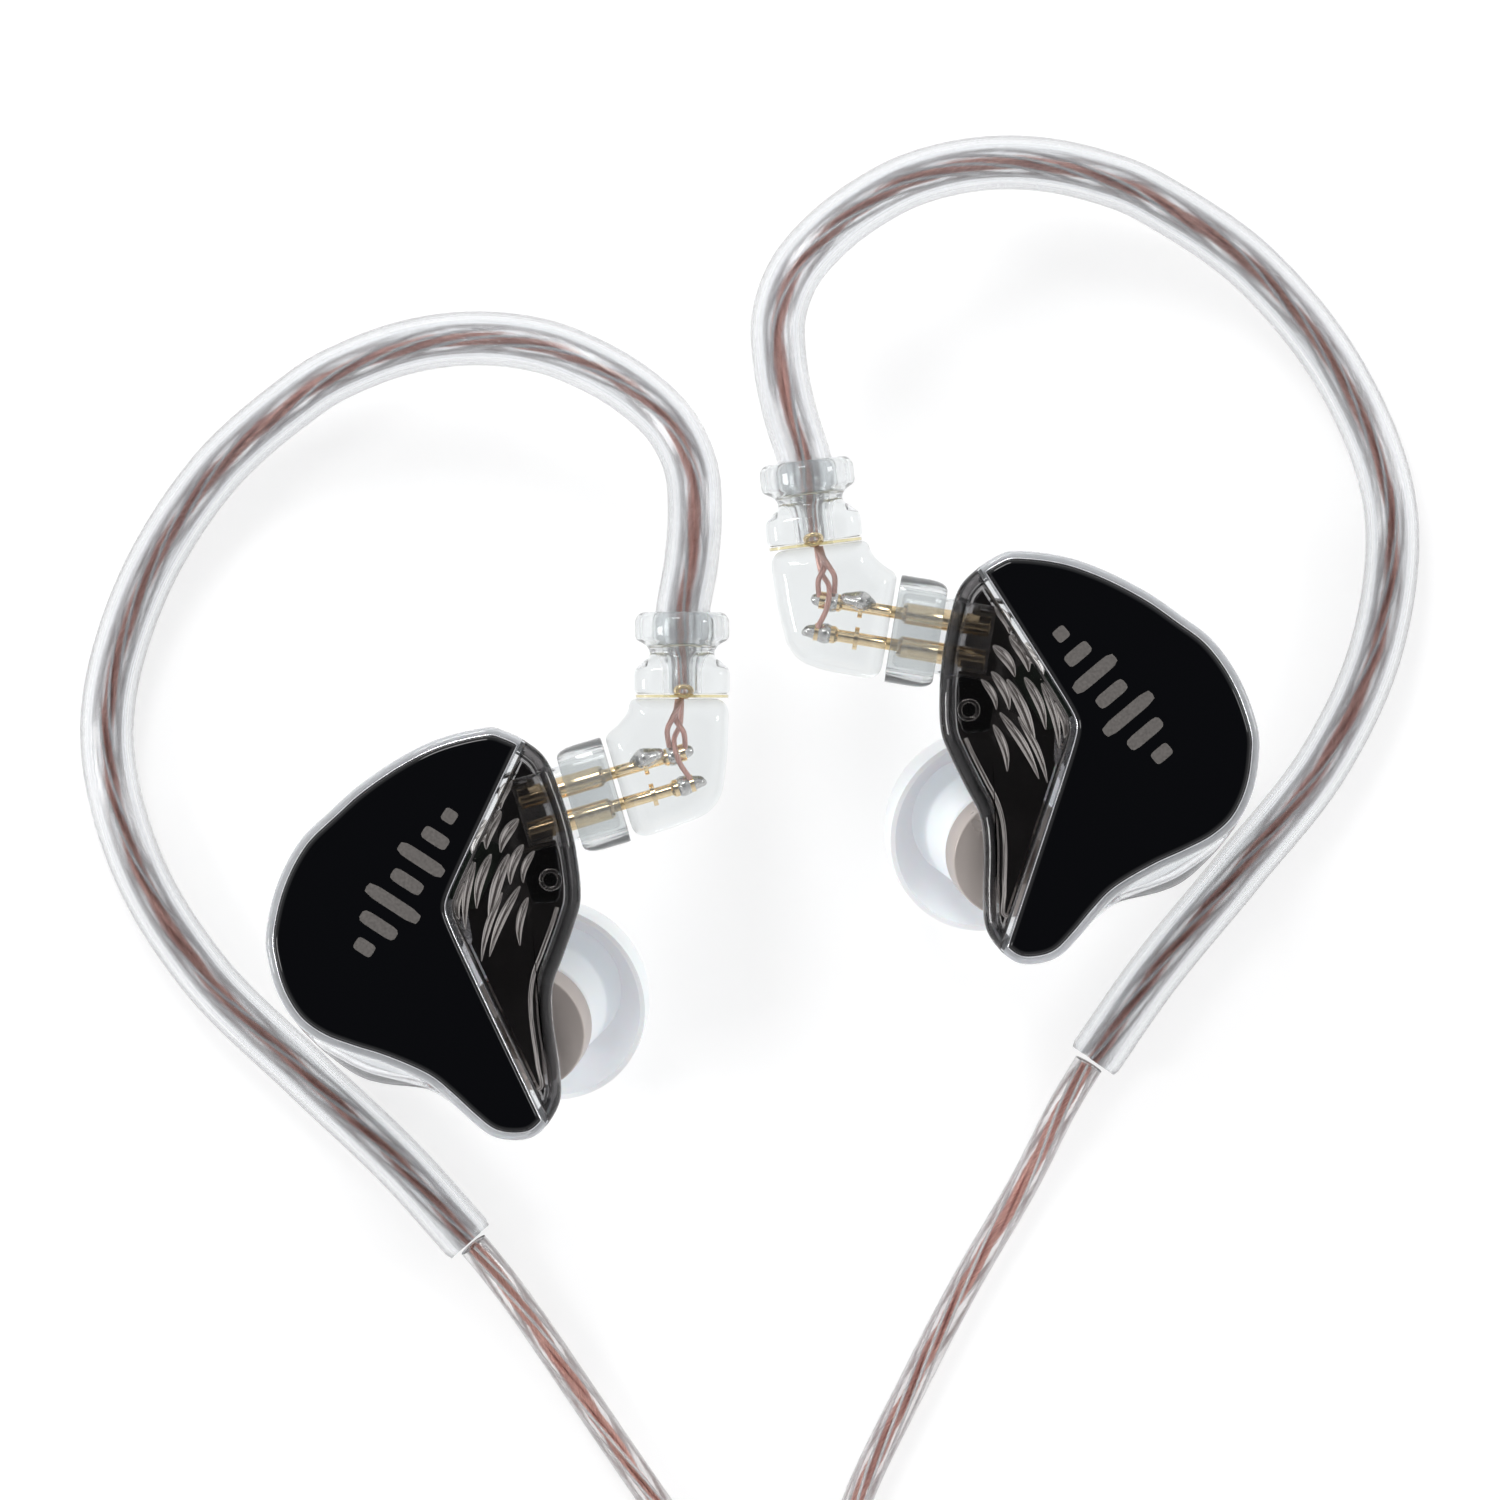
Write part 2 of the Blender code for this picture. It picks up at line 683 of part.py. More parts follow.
def make_driver(place, materials):
    outer, wall, height = DRIVER_RADIUS, DRIVER_WALL, driver_height()
    back = MAGNET_RADIUS + GAP
    frame = (
        (0.0, outer - wall), (0.0, outer), (height - wall, outer), (height, outer - wall),
        (height, back), (height - wall, back), (height - wall, outer - wall),
    )
    shape = turned(frame, ROUND_LARGE, ring_shaped=True)
    add_solid(place, "driver_frame", moved(shape, driver_place()), materials["steel"])

    film = outer - wall - FINE_GAP
    thickness = DIAPHRAGM_THICKNESS
    dome = COIL_RADIUS + COIL_WALL
    diaphragm = (
        (0.3 * MM, film), (0.3 * MM + thickness, film), (0.5 * MM + thickness, dome + 0.6 * MM),
        (0.3 * MM + thickness, dome), (0.1 * MM + thickness, 0.3 * MM), (0.1 * MM, 0.3 * MM),
        (0.3 * MM, dome), (0.5 * MM, dome + 0.6 * MM),
    )
    low_side = [diaphragm[5], diaphragm[6], diaphragm[7], diaphragm[0]]
    high_side = [diaphragm[1], diaphragm[2], diaphragm[3], diaphragm[4]]
    shape = turned(low_side + high_side, ROUND_LARGE)
    add_solid(place, "driver_diaphragm", moved(shape, driver_place()), materials["film"])

    low = 0.5 * MM + thickness + FINE_GAP
    high = height - MAGNET_CAP - FINE_GAP
    shape = pipe(COIL_RADIUS, COIL_RADIUS - COIL_WALL, low, high, ROUND_LARGE)
    add_solid(place, "voice_coil", moved(shape, driver_place()), materials["copper"])

    pole = COIL_RADIUS - COIL_WALL - FINE_GAP
    magnet = (
        (low, pole), (high + FINE_GAP, pole), (high + FINE_GAP, MAGNET_RADIUS), (height, MAGNET_RADIUS),
    )
    shape = turned(magnet, ROUND_LARGE)
    add_solid(place, "driver_magnet", moved(shape, driver_place()), materials["steel"])


def make_board(place, materials):
    length, width, thickness = BOARD_SIZE
    x, y = in_shell(BOARD_CENTRE)
    low = board_z()
    outline = rounded_rectangle(length, width, 0.3 * MM, 3)
    shape = prism(outline, low, low + thickness)
    matrix = Matrix.Translation((x, y, 0.0)) @ Matrix.Rotation(BOARD_TURN, 4, "Z")
    add_solid(place, "crossover_board", moved(shape, matrix), materials["board"])


# ---------------------------------------------------------------------------------------------------------
# Connector
# ---------------------------------------------------------------------------------------------------------


def pin_sides():
    return (("a", PIN_SPACING / 2), ("b", -PIN_SPACING / 2))


def socket_outer():
    return PIN_RADIUS + FINE_GAP + SOCKET_WALL


def make_sockets(place, materials):
    width, height = BLOCK_SIZE
    outline = rounded_rectangle(width, height, 1.0 * MM)
    shape = prism(outline, -BLOCK_INSIDE, BLOCK_OUTSIDE)
    block = add_solid(place, "socket_block", moved(shape, connector_frame()), materials["clear"])
    for letter, across in pin_sides():
        bore = cylinder(socket_outer() + FINE_GAP, -BLOCK_INSIDE - 1 * MM, BLOCK_OUTSIDE + 1 * MM)
        cut(block, place, f"cut_socket_bore_{letter}", moved(bore, connector_frame(across)), materials["clear"])
        inner = PIN_RADIUS + FINE_GAP
        tube = pipe(socket_outer(), inner, GAP - BLOCK_INSIDE, BLOCK_OUTSIDE - GAP)
        add_solid(place, f"socket_{letter}", moved(tube, connector_frame(across)), materials["gold"])


def hood_size():
    return (
        BLOCK_SIZE[0] + 2 * GAP + 2 * HOOD_WALL[0],
        BLOCK_SIZE[1] + 2 * GAP + 2 * HOOD_WALL[1],
    )


def make_plug_hood(place, materials):
    width, height = hood_size()
    outside = rounded_rectangle(width, height, HOOD_ROUNDING)
    inside = rounded_rectangle(BLOCK_SIZE[0] + 2 * GAP, BLOCK_SIZE[1] + 2 * GAP, 1.2 * MM)
    lip = inset(outside, 0.3 * MM)
    shape = loft(
        [
            at_height(lip, 0.0), at_height(outside, 0.3 * MM), at_height(outside, HOOD_LENGTH),
            at_height(inside, HOOD_LENGTH), at_height(inside, 0.0),
        ],
        ring_shaped=True,
    )
    add_solid(place, "plug_hood", moved(shape, connector_frame()), materials["clear"])


def make_plug_body(place, materials):
    start = HOOD_LENGTH + GAP
    half = hood_size()[0] / 2
    along, sideways = connector_axis(), Vector((-math.sin(CONNECTOR_HEADING), math.cos(CONNECTOR_HEADING), 0.0))
    low_corner = along * start - sideways * half
    high_corner = along * start + sideways * half
    points = [tuple(low_corner.xy)] + [(x * MM, y * MM) for x, y in PLUG_OUTLINE] + [tuple(high_corner.xy)]
    z = connector_z()
    shape = prism(np.array(points), z - PLUG_THICKNESS / 2, z + PLUG_THICKNESS / 2)
    bmesh.ops.bevel(
        shape, geom=shape.edges[:], offset=PLUG_ROUNDING, segments=2, affect="EDGES", profile=0.5, clamp_overlap=True
    )
    body = add_solid(place, "plug_body", shape, materials["clear"])
    for letter, across in pin_sides():
        bore = cylinder(SOLDER_CUP_RADIUS + FINE_GAP, start - 1 * MM, PIN_TAIL + GAP)
        cut(body, place, f"cut_pin_bore_{letter}", moved(bore, connector_frame(across)), materials["clear"])
    bore = cylinder(CABLE_RADIUS + GAP, CABLE_END_IN_PLUG + 2 * MM, RELIEF_START + 1 * MM)
    cut(body, place, "cut_cable_bore", moved(bore, relief_frame()), materials["clear"])


def make_pins(place, materials):
    for letter, across in pin_sides():
        cup = PIN_TAIL - SOLDER_CUP_LENGTH
        profile = (
            (-PIN_REACH, PIN_RADIUS * 0.5), (PIN_RADIUS - PIN_REACH, PIN_RADIUS), (cup, PIN_RADIUS),
            (cup + 0.3 * MM, SOLDER_CUP_RADIUS), (PIN_TAIL, SOLDER_CUP_RADIUS),
        )
        shape = moved(turned(profile, 12), connector_frame(across))
        add_solid(place, f"pin_{letter}", shape, materials["gold"])


def make_strain_relief(place, materials):
    low = RELIEF_START + GAP

    def ring(y, width, depth, rounding):
        return at_height(rounded_rectangle(2 * width, 2 * depth, rounding, 5), y)

    half, depth = RELIEF_HALF_WIDTH, PLUG_THICKNESS / 2
    neck, flange = NECK_RADIUS, FLANGE_RADIUS
    edge = 0.4 * MM
    shape = loft([
        ring(low, half, depth, 1.2 * MM),
        ring(RELIEF_SHOULDER, half, depth, 1.2 * MM),
        ring(RELIEF_NECK, neck, neck, neck * 0.98),
        ring(FLANGE_START, neck + edge, neck + edge, (neck + edge) * 0.98),
        ring(FLANGE_START + edge, flange, flange, flange * 0.98),
        ring(FLANGE_END - edge, flange, flange, flange * 0.98),
        ring(FLANGE_END, flange - edge, flange - edge, (flange - edge) * 0.98),
    ])
    relief = add_solid(place, "strain_relief", moved(shape, relief_frame()), materials["clear"])
    bore = cylinder(CABLE_RADIUS + GAP, low - 1 * MM, FLANGE_END + 1 * MM)
    cut(relief, place, "cut_relief_bore", moved(bore, relief_frame()), materials["clear"])
    seat = cylinder(SLEEVE_RADIUS + GAP, FLANGE_END - SLEEVE_INSET - GAP, FLANGE_END + 1 * MM)
    cut(relief, place, "cut_sleeve_seat", moved(seat, relief_frame()), materials["clear"])


# ---------------------------------------------------------------------------------------------------------
# Hook and cables
# ---------------------------------------------------------------------------------------------------------


def make_hook(place, materials):
    path = hook_path(HOOK_SAMPLES)
    wall = SLEEVE_RADIUS - CABLE_RADIUS - GAP
    add_tube(place, "ear_hook", path, SLEEVE_RADIUS, materials["clear"], wall)
    z = connector_z()
    start = np.array([[RELIEF_X, CABLE_END_IN_PLUG + 2.3 * MM, z], [RELIEF_X, 8.0 * MM, z]])
    add_tube(place, "hook_cable", np.vstack([start, path]), CABLE_RADIUS, materials["cable"])


def make_free_cable(place, name, points, materials):
    path = smooth_curve(points, 16) * MM
    add_tube(place, name, path, CABLE_RADIUS, materials["cable"])


def coil_base():
    return TIE_THICKNESS + GAP


def make_cable_coil(place, materials):
    low, high = coil_base(), coil_base() + COIL_HEIGHT
    edge = 0.8 * MM
    profile = (
        (low, COIL_INNER + edge), (low, COIL_OUTER - edge), (low + edge, COIL_OUTER),
        (high - edge, COIL_OUTER), (high, COIL_OUTER - edge), (high, COIL_INNER + edge),
        (high - edge, COIL_INNER), (low + edge, COIL_INNER),
    )
    shape = turned(profile, 36, ring_shaped=True)
    matrix = Matrix.Translation((*COIL_CENTRE, 0.0))
    add_solid(place, "cable_coil", moved(shape, matrix), materials["cable"])


def make_cable_tie(place, materials):
    """A strap whose closed band goes round the wound bundle."""
    near = math.sqrt(COIL_INNER**2 - (TIE_WIDTH / 2) ** 2) - GAP
    far = COIL_OUTER + GAP
    height = COIL_HEIGHT + 2 * GAP
    inside = rounded_rectangle(far - near, height, 0.8 * MM)
    outside = rounded_rectangle(far - near + 2 * TIE_THICKNESS, height + 2 * TIE_THICKNESS, 1.4 * MM)
    low, high = -TIE_WIDTH / 2, TIE_WIDTH / 2
    rings = [at_height(outside, low), at_height(outside, high), at_height(inside, high), at_height(inside, low)]
    shape = loft(rings, ring_shaped=True)
    outwards = Vector((math.cos(TIE_ANGLE), math.sin(TIE_ANGLE), 0.0))
    along = Vector((-math.sin(TIE_ANGLE), math.cos(TIE_ANGLE), 0.0))
    centre = Vector((*COIL_CENTRE, height / 2 + TIE_THICKNESS)) + outwards * (near + far) / 2
    add_solid(place, "cable_tie", moved(shape, axis_frame(centre, along)), materials["strap"])


def make_splitter(place, materials):
    half, radius = SPLITTER_LENGTH / 2, SPLITTER_RADIUS
    profile = (
        (-half, radius * 0.8), (-half + 0.8 * MM, radius), (half - 2.5 * MM, radius), (half, radius * 0.7),
    )
    centre = (COIL_CENTRE[0] + SPLITTER_OFFSET[0], COIL_CENTRE[1] + SPLITTER_OFFSET[1], radius)
    shape = moved(turned(profile, ROUND_SMALL), axis_frame(centre, (0.0, 1.0, 0.0)))
    add_solid(place, "y_splitter", shape, materials["clear"])


def main_arc():
    """The last half turn, which comes down round the outside of the bundle."""
    radius = COIL_OUTER + MAIN_RADIUS + 2 * GAP
    top = coil_base() + COIL_HEIGHT - MAIN_RADIUS
    points = []
    for share in np.linspace(0.0, 1.0, MAIN_ARC_STEPS):
        angle = MAIN_ARC_START + (MAIN_ARC_END - MAIN_ARC_START) * share
        fall = share * share * (3.0 - 2.0 * share)
        points.append((
            COIL_CENTRE[0] + radius * math.cos(angle),
            COIL_CENTRE[1] + radius * math.sin(angle),
            top + (MAIN_RADIUS - top) * fall,
        ))
    return points


def make_main_cable(place, materials):
    points = main_arc() + [tuple(np.array(point) * MM) for point in MAIN_CABLE_POINTS]
    add_tube(place, "main_cable", smooth_curve(points, 26), MAIN_RADIUS, materials["cable"])


# ---------------------------------------------------------------------------------------------------------
# Stereo plug
# ---------------------------------------------------------------------------------------------------------


def make_jack(place, materials):
    length, width, height = JACK_BODY_SIZE
    x, y = JACK_CENTRE
    z = height / 2
    body = prism(rounded_rectangle(length, width, JACK_ROUNDING), 0.0, height)
    rims = [edge for edge in body.edges if len({round(v.co.z, 6) for v in edge.verts}) == 1]
    bmesh.ops.bevel(body, geom=rims, offset=0.7 * MM, segments=2, affect="EDGES", profile=0.5)
    add_solid(place, "jack_body", moved(body, Matrix.Translation((x, y, 0.0))), materials["clear"])

    small, large = JACK_RELIEF_RADIUS
    relief = turned(((0.0, large), (JACK_RELIEF_LENGTH, small)), ROUND_SMALL)
    start = (x + length / 2 + FINE_GAP, y, z)
    shape = moved(relief, axis_frame(start, (1.0, 0.0, 0.0)))
    relief = add_solid(place, "jack_strain_relief", shape, materials["clear"])

    at = width / 2 + FINE_GAP
    radius = JACK_RADIUS
    frame = axis_frame((x, y, z), (0.0, 1.0, 0.0))
    pieces = (
        ("jack_sleeve", JACK_SLEEVE_LENGTH, "gold", radius),
        ("jack_insulator_rear", JACK_INSULATOR_LENGTH, "black", radius * 0.97),
        ("jack_ring", JACK_RING_LENGTH, "gold", radius),
        ("jack_insulator_front", JACK_INSULATOR_LENGTH, "black", radius * 0.97),
    )
    for name, piece_length, finish, piece_radius in pieces:
        shape = moved(cylinder(piece_radius, at, at + piece_length, ROUND_SMALL), frame)
        add_solid(place, name, shape, materials[finish])
        at += piece_length + FINE_GAP
    tip = (
        (at, radius * 0.95), (at + 0.5 * MM, radius), (at + 1.2 * MM, JACK_TIP_NECK),
        (at + 1.8 * MM, radius * 0.9), (at + 2.4 * MM, radius * 0.95), (at + JACK_TIP_LENGTH, 0.35 * MM),
    )
    add_solid(place, "jack_tip", moved(turned(tip, ROUND_SMALL), frame), materials["gold"])


# ---------------------------------------------------------------------------------------------------------
# The whole set
# ---------------------------------------------------------------------------------------------------------


def make_side(name, seat, turn, mirrored, materials):
    side = add_empty(f"{name}_side", None, (*seat, 0.0), turn)
    connector = (0.0, 0.0, connector_z())
    earpiece = add_empty(f"{name}_earpiece_slide", side, connector)
    prefix = f"{name}_"
    x, y = in_shell(NOZZLE_CENTRE)
    tip_origin = (-x if mirrored else x, y, seat_height())
    eartip = add_empty(f"{name}_eartip_slide", earpiece, tuple(np.subtract(tip_origin, connector)))

    fixed = Place(side, mirrored=mirrored, prefix=prefix)
    sliding = Place(earpiece, connector, mirrored, prefix)
    on_tip = Place(eartip, tip_origin, mirrored, prefix)

    for make in (
        make_rear_shell, make_cover, make_faceplate, make_vent_ring, make_nozzle, make_nozzle_screen,
        make_driver, make_board, make_sockets,
    ):
        make(sliding, materials)
    make_eartip(on_tip, materials)
    for make in (make_plug_hood, make_plug_body, make_pins, make_strain_relief, make_hook):
        make(fixed, materials)


def main():
    clear_scene()
    materials = make_materials()
    make_side("left", SEAT_LEFT, 0.0, False, materials)
    make_side("right", SEAT_RIGHT, TURN_RIGHT, True, materials)

    table = Place()
    make_free_cable(table, "left_cable", LEFT_CABLE_POINTS, materials)
    make_free_cable(table, "right_cable", RIGHT_CABLE_POINTS, materials)
    for make in (make_cable_coil, make_cable_tie, make_splitter, make_main_cable, make_jack):
        make(table, materials)


main()
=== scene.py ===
"""In ear monitors: the looks of the set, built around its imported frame.

Metres, +Z up, in the frame's own place. Each side is drawn as a left one, from the seat where the
plug's hood meets the earpiece. The right side is the left one mirrored in x and turned about z.
"""

import json
import math

import bpy
import numpy as np
from bpy.props import FloatProperty, FloatVectorProperty, PointerProperty
from mathutils import Matrix, Vector

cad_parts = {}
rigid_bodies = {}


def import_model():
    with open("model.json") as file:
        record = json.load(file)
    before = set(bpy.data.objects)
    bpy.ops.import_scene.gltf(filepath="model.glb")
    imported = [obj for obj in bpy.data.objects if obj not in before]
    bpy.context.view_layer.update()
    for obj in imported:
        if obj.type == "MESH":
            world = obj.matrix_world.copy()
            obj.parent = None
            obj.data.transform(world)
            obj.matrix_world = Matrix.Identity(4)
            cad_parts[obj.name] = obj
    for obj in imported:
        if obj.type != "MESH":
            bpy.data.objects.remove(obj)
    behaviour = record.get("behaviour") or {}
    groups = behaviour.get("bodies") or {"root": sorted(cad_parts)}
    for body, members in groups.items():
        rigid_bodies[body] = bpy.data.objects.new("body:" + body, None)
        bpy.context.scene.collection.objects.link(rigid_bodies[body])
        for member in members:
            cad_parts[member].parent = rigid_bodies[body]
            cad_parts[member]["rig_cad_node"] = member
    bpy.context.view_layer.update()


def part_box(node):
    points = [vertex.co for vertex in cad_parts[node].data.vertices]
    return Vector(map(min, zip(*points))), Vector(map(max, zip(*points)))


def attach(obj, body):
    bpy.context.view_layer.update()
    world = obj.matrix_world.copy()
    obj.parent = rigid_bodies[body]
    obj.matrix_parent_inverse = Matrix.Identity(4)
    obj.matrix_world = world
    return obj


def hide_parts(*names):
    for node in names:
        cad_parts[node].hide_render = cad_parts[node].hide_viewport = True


bl_info = {
    "name": "In ear monitors",
    "version": (1, 0, 0),
    "blender": (4, 5, 0),
    "location": "3D View > Sidebar > Monitors",
    "description": "Builds the shells, tips, plugs, hooks and cords of a pair of in ear monitors",
    "category": "Add Mesh",
}

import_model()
MM = 0.001

# Where each side lies: seat of its plug, its turn about z, and whether x is mirrored
SIDES = {
    "left": ((-11.3 * MM, -6.6 * MM), 0.0, False),
    "right": ((11.8 * MM, 3.8 * MM), math.radians(7.1), True),
}

# Heights, from the frame
BELLY_Z, RIM_Z = (corner.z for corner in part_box("left_rear_shell"))
COVER_LOW, COVER_HIGH = (corner.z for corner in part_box("left_cover_shell"))
PLATE_LOW, PLATE_HIGH = (corner.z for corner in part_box("left_faceplate"))
PLUG_LOW, PLUG_HIGH = (corner.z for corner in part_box("left_plug_body"))
CONNECTOR_Z = (PLUG_LOW + PLUG_HIGH) / 2
WAIST_Z = BELLY_Z + (RIM_Z - BELLY_Z) * 0.579
SEAT_Z = BELLY_Z + 0.7 * MM

# Outlines of the shell, in millimetres from the seat
RIM_POINTS = (
    (-5.1, 4.7), (-8.1, 4.0), (-10.6, 2.8), (-13.1, 1.1), (-14.9, -0.5), (-16.8, -2.4),
    (-18.2, -5.1), (-18.9, -8.2), (-18.7, -10.1), (-18.1, -12.0), (-17.0, -13.7), (-15.5, -14.8),
    (-13.7, -15.5), (-11.5, -16.2), (-9.0, -17.3), (-7.6, -18.4), (-6.2, -19.7), (-4.9, -20.7),
    (-3.6, -21.0), (-2.25, -20.8), (-1.2, -19.8), (-0.55, -18.4), (-0.6, -16.6), (-1.05, -13.2),
    (-1.0, -11.3), (-0.4, -9.6), (0.3, -7.6), (0.7, -6.0), (0.55, -3.8), (0.05, -1.3),
    (-0.7, 1.0), (-1.55, 2.85), (-2.75, 3.85), (-3.95, 4.45),
)
DIVIDE_VERTEX = (-7.8 * MM, -6.5 * MM)
DIVIDE_SLOPE = 0.476
DIVIDE_ROUNDING = 0.65 * MM
BELLY_CENTRE = (-9.2 * MM, -9.9 * MM)
FLANK_X = -12.0 * MM
VENT_CENTRE = (-1.2 * MM, -4.8 * MM)
NOZZLE_CENTRE = (-2.2 * MM, -13.4 * MM)
NOZZLE_LEAN = math.radians(22.0)
NOZZLE_HEADING = math.radians(52.0)
NOZZLE_ROOT_RADIUS = 3.9 * MM
TOWER_HALF_WIDTH, TOWER_HALF_HEIGHT = 2.4 * MM, 1.4 * MM
CONNECTOR_HEADING = math.radians(16.5)
PIN_OFFSET = 1.0 * MM
RELIEF_X = 7.0 * MM
PLUG_OUTLINE = (
    (7.6, -1.2), (8.9, -0.5), (9.55, 0.55), (9.85, 2.8), (9.95, 6.5), (3.75, 6.5), (3.65, 5.7), (2.95, 4.8),
)
HOOK_POINTS = (
    (7.0, 10.3), (7.05, 12.0), (7.6, 15.2), (7.8, 18.3), (7.5, 21.1), (6.2, 23.7), (3.95, 25.8),
    (1.3, 27.4), (-1.8, 28.6), (-5.5, 29.1), (-9.3, 28.8), (-13.0, 27.7), (-16.8, 25.7),
    (-22.7, 20.5), (-27.3, 13.0), (-29.3, 4.6), (-27.5, -3.7), (-23.1, -10.9), (-16.8, -17.1),
    (-11.0, -22.6), (-6.4, -27.7),
)
HOOK_FALL = 0.55
SLEEVE_RADIUS, SLEEVE_BORE = 1.7 * MM, 1.2 * MM

# Routes of the cords, in millimetres
LEFT_CABLE_POINTS = (
    (-17.5, -34.5, 1.7), (-16.2, -36.0, 1.3), (-14.1, -38.9, 0.95), (-12.2, -41.7, 0.95),
    (-9.7, -45.4, 0.95), (-6.4, -50.2, 0.95), (-3.2, -54.8, 0.95), (-1.3, -57.5, 1.1), (0.6, -60.1, 1.4),
)
RIGHT_CABLE_POINTS = (
    (21.3, -23.1, 1.7), (19.7, -25.5, 1.3), (17.6, -30.1, 0.95), (14.7, -34.9, 0.95),
    (12.2, -39.4, 0.95), (9.9, -44.0, 0.95), (6.8, -50.2, 0.95), (5.4, -55.0, 1.4), (5.1, -60.0, 2.5),
    (5.8, -63.6, 3.5), (6.6, -66.3, 3.8),
)
# Angle that each of the main cord's three layers turns through. The last one then ends at 155 degrees,
# 75 degrees before the cord starts down the outside at 80.
MAIN_LAYER_TURN = (3240.0 - 575.0) / 3.0
MAIN_TAIL_POINTS = ((-15.0, -95.5, 1.2), (-20.0, -95.6, 1.7), (-24.0, -95.6, 2.9), (-27.7, -95.6, 3.6))
SIDE_RADIUS, MAIN_RADIUS = 0.95, 1.2
COIL_CENTRE = (-10.0, -76.0)
COIL_BASE = 0.9
SIDE_LAYER, MAIN_LAYER, MAIN_STEP = 1.95, 2.45, 2.85
SPLITTER_ENDS = (-80.4, -73.4)
SPLITTER_X = -13.2
JACK_CENTRE = (-36.5, -95.6)

# Shared effects and materials by name, filled by the first step
GROUPS, FINISH = {}, {}


# ---------------------------------------------------------------------------------------------------------
# Curves and outlines
# ---------------------------------------------------------------------------------------------------------


def evenly(points, count):
    """Points at equal distances along a run of straight steps, with both ends kept."""
    along = np.concatenate([[0.0], np.cumsum(np.linalg.norm(np.diff(points, axis=0), axis=1))])
    wanted = np.linspace(0.0, along[-1], count)
    return np.column_stack([np.interp(wanted, along, points[:, k]) for k in range(points.shape[1])])


def smooth_curve(points, count, closed=False):
    """Cubic curve through the points, whose slope at each point comes from its two neighbours, weighted
    by the square roots of their distances, sampled evenly along its length."""
    knots = np.array(points, float)
    if closed:
        knots = np.vstack([knots[-1], knots, knots[0], knots[1]])
    else:
        knots = np.vstack([2 * knots[0] - knots[1], knots, 2 * knots[-1] - knots[-2]])
    steps = np.sqrt(np.linalg.norm(np.diff(knots, axis=0), axis=1))
    at = np.concatenate([[0.0], np.cumsum(steps)])[:, None]
    slopes = (knots[2:] - knots[:-2]) / (at[2:] - at[:-2])
    share = np.linspace(0.0, 1.0, 25)[None, :-1, None]
    start, end = knots[1:-2, None], knots[2:-1, None]
    span = (at[2:-1] - at[1:-2])[:, None]
    lead, trail = slopes[:-1, None] * span, slopes[1:, None] * span
    dense = (
        (2 * share**3 - 3 * share**2 + 1) * start + (share**3 - 2 * share**2 + share) * lead
        + (3 * share**2 - 2 * share**3) * end + (share**3 - share**2) * trail
    ).reshape(-1, knots.shape[1])
    dense = np.vstack([dense, knots[-2]])
    return evenly(dense, count + 1)[:-1] if closed else evenly(dense, count)


def outward_normals(outline):
    """Unit normals of a counter-clockwise outline: each step from neighbour to neighbour, turned right."""
    along = np.roll(outline, -1, axis=0) - np.roll(outline, 1, axis=0)
    along /= np.linalg.norm(along, axis=1)[:, None]
    return np.column_stack([along[:, 1], -along[:, 0]])


def inset(outline, distance):
    """The outline moved inwards along its own normals."""
    return outline - outward_normals(outline) * distance


def filleted(points, radius, steps=5):
    """A closed outline with each corner replaced by a parabola that starts and ends a radius away from it,
    or half of the neighbouring edge where that is less."""
    points = np.array(points, float)
    before, after = np.roll(points, 1, axis=0) - points, np.roll(points, -1, axis=0) - points
    reach_before = np.linalg.norm(before, axis=1)[:, None]
    reach_after = np.linalg.norm(after, axis=1)[:, None]
    reach = np.minimum(radius, np.minimum(reach_before, reach_after) * 0.48)
    start = points + before / reach_before * reach
    end = points + after / reach_after * reach
    share = np.linspace(0.0, 1.0, steps)[None, :, None]
    curve = (
        start[:, None] * (1 - share) ** 2 + points[:, None] * 2 * share * (1 - share)
        + end[:, None] * share**2
    )
    return curve.reshape(-1, points.shape[1])


def divide_x(y):
    """Line between faceplate and window: a hyperbola that runs into two straight lines."""
    return DIVIDE_VERTEX[0] + DIVIDE_SLOPE * np.sqrt((y - DIVIDE_VERTEX[1]) ** 2 + DIVIDE_ROUNDING**2)


def rim_outline(count):
    """Outline of the shell at its rim, seen from above."""
    return smooth_curve(RIM_POINTS, count, closed=True) * MM


def waist_outline(count):
    """The rim, moved outwards by a bell curve of x along the flank that faces down."""
    rim = rim_outline(count)
    normals = outward_normals(rim)
    near = np.exp(-(((rim[:, 0] - FLANK_X) / (3.5 * MM)) ** 2))
    return rim + normals * (1.5 * MM * near * np.clip(-normals[:, 1], 0.0, 1.0))[:, None]


def part_of(outline, back, window, rim_count, line_count):
    """The part of an outline on one side of the dividing line moved back by a distance. The first points
    run along the outline, and the rest along the line."""
    sign = -1.0 if window else 1.0
    beyond = sign * (outline[:, 0] - divide_x(outline[:, 1])) + back
    first = int(np.argmax((beyond < 0) & (np.roll(beyond, 1) >= 0)))
    outline, beyond = np.roll(outline, -first, axis=0), np.roll(beyond, -first)
    last = int(np.argmax(beyond >= 0)) - 1

    def crossing(i, j):
        return outline[i] + (outline[j] - outline[i]) * beyond[i] / (beyond[i] - beyond[j])

    start, end = crossing(0, -1), crossing(last, last + 1)
    around = evenly(np.vstack([start, outline[: last + 1], end]), rim_count)
    heights = np.linspace(end[1], start[1], line_count)[1:-1]
    return np.vstack([around, np.column_stack([divide_x(heights) - sign * back, heights])])


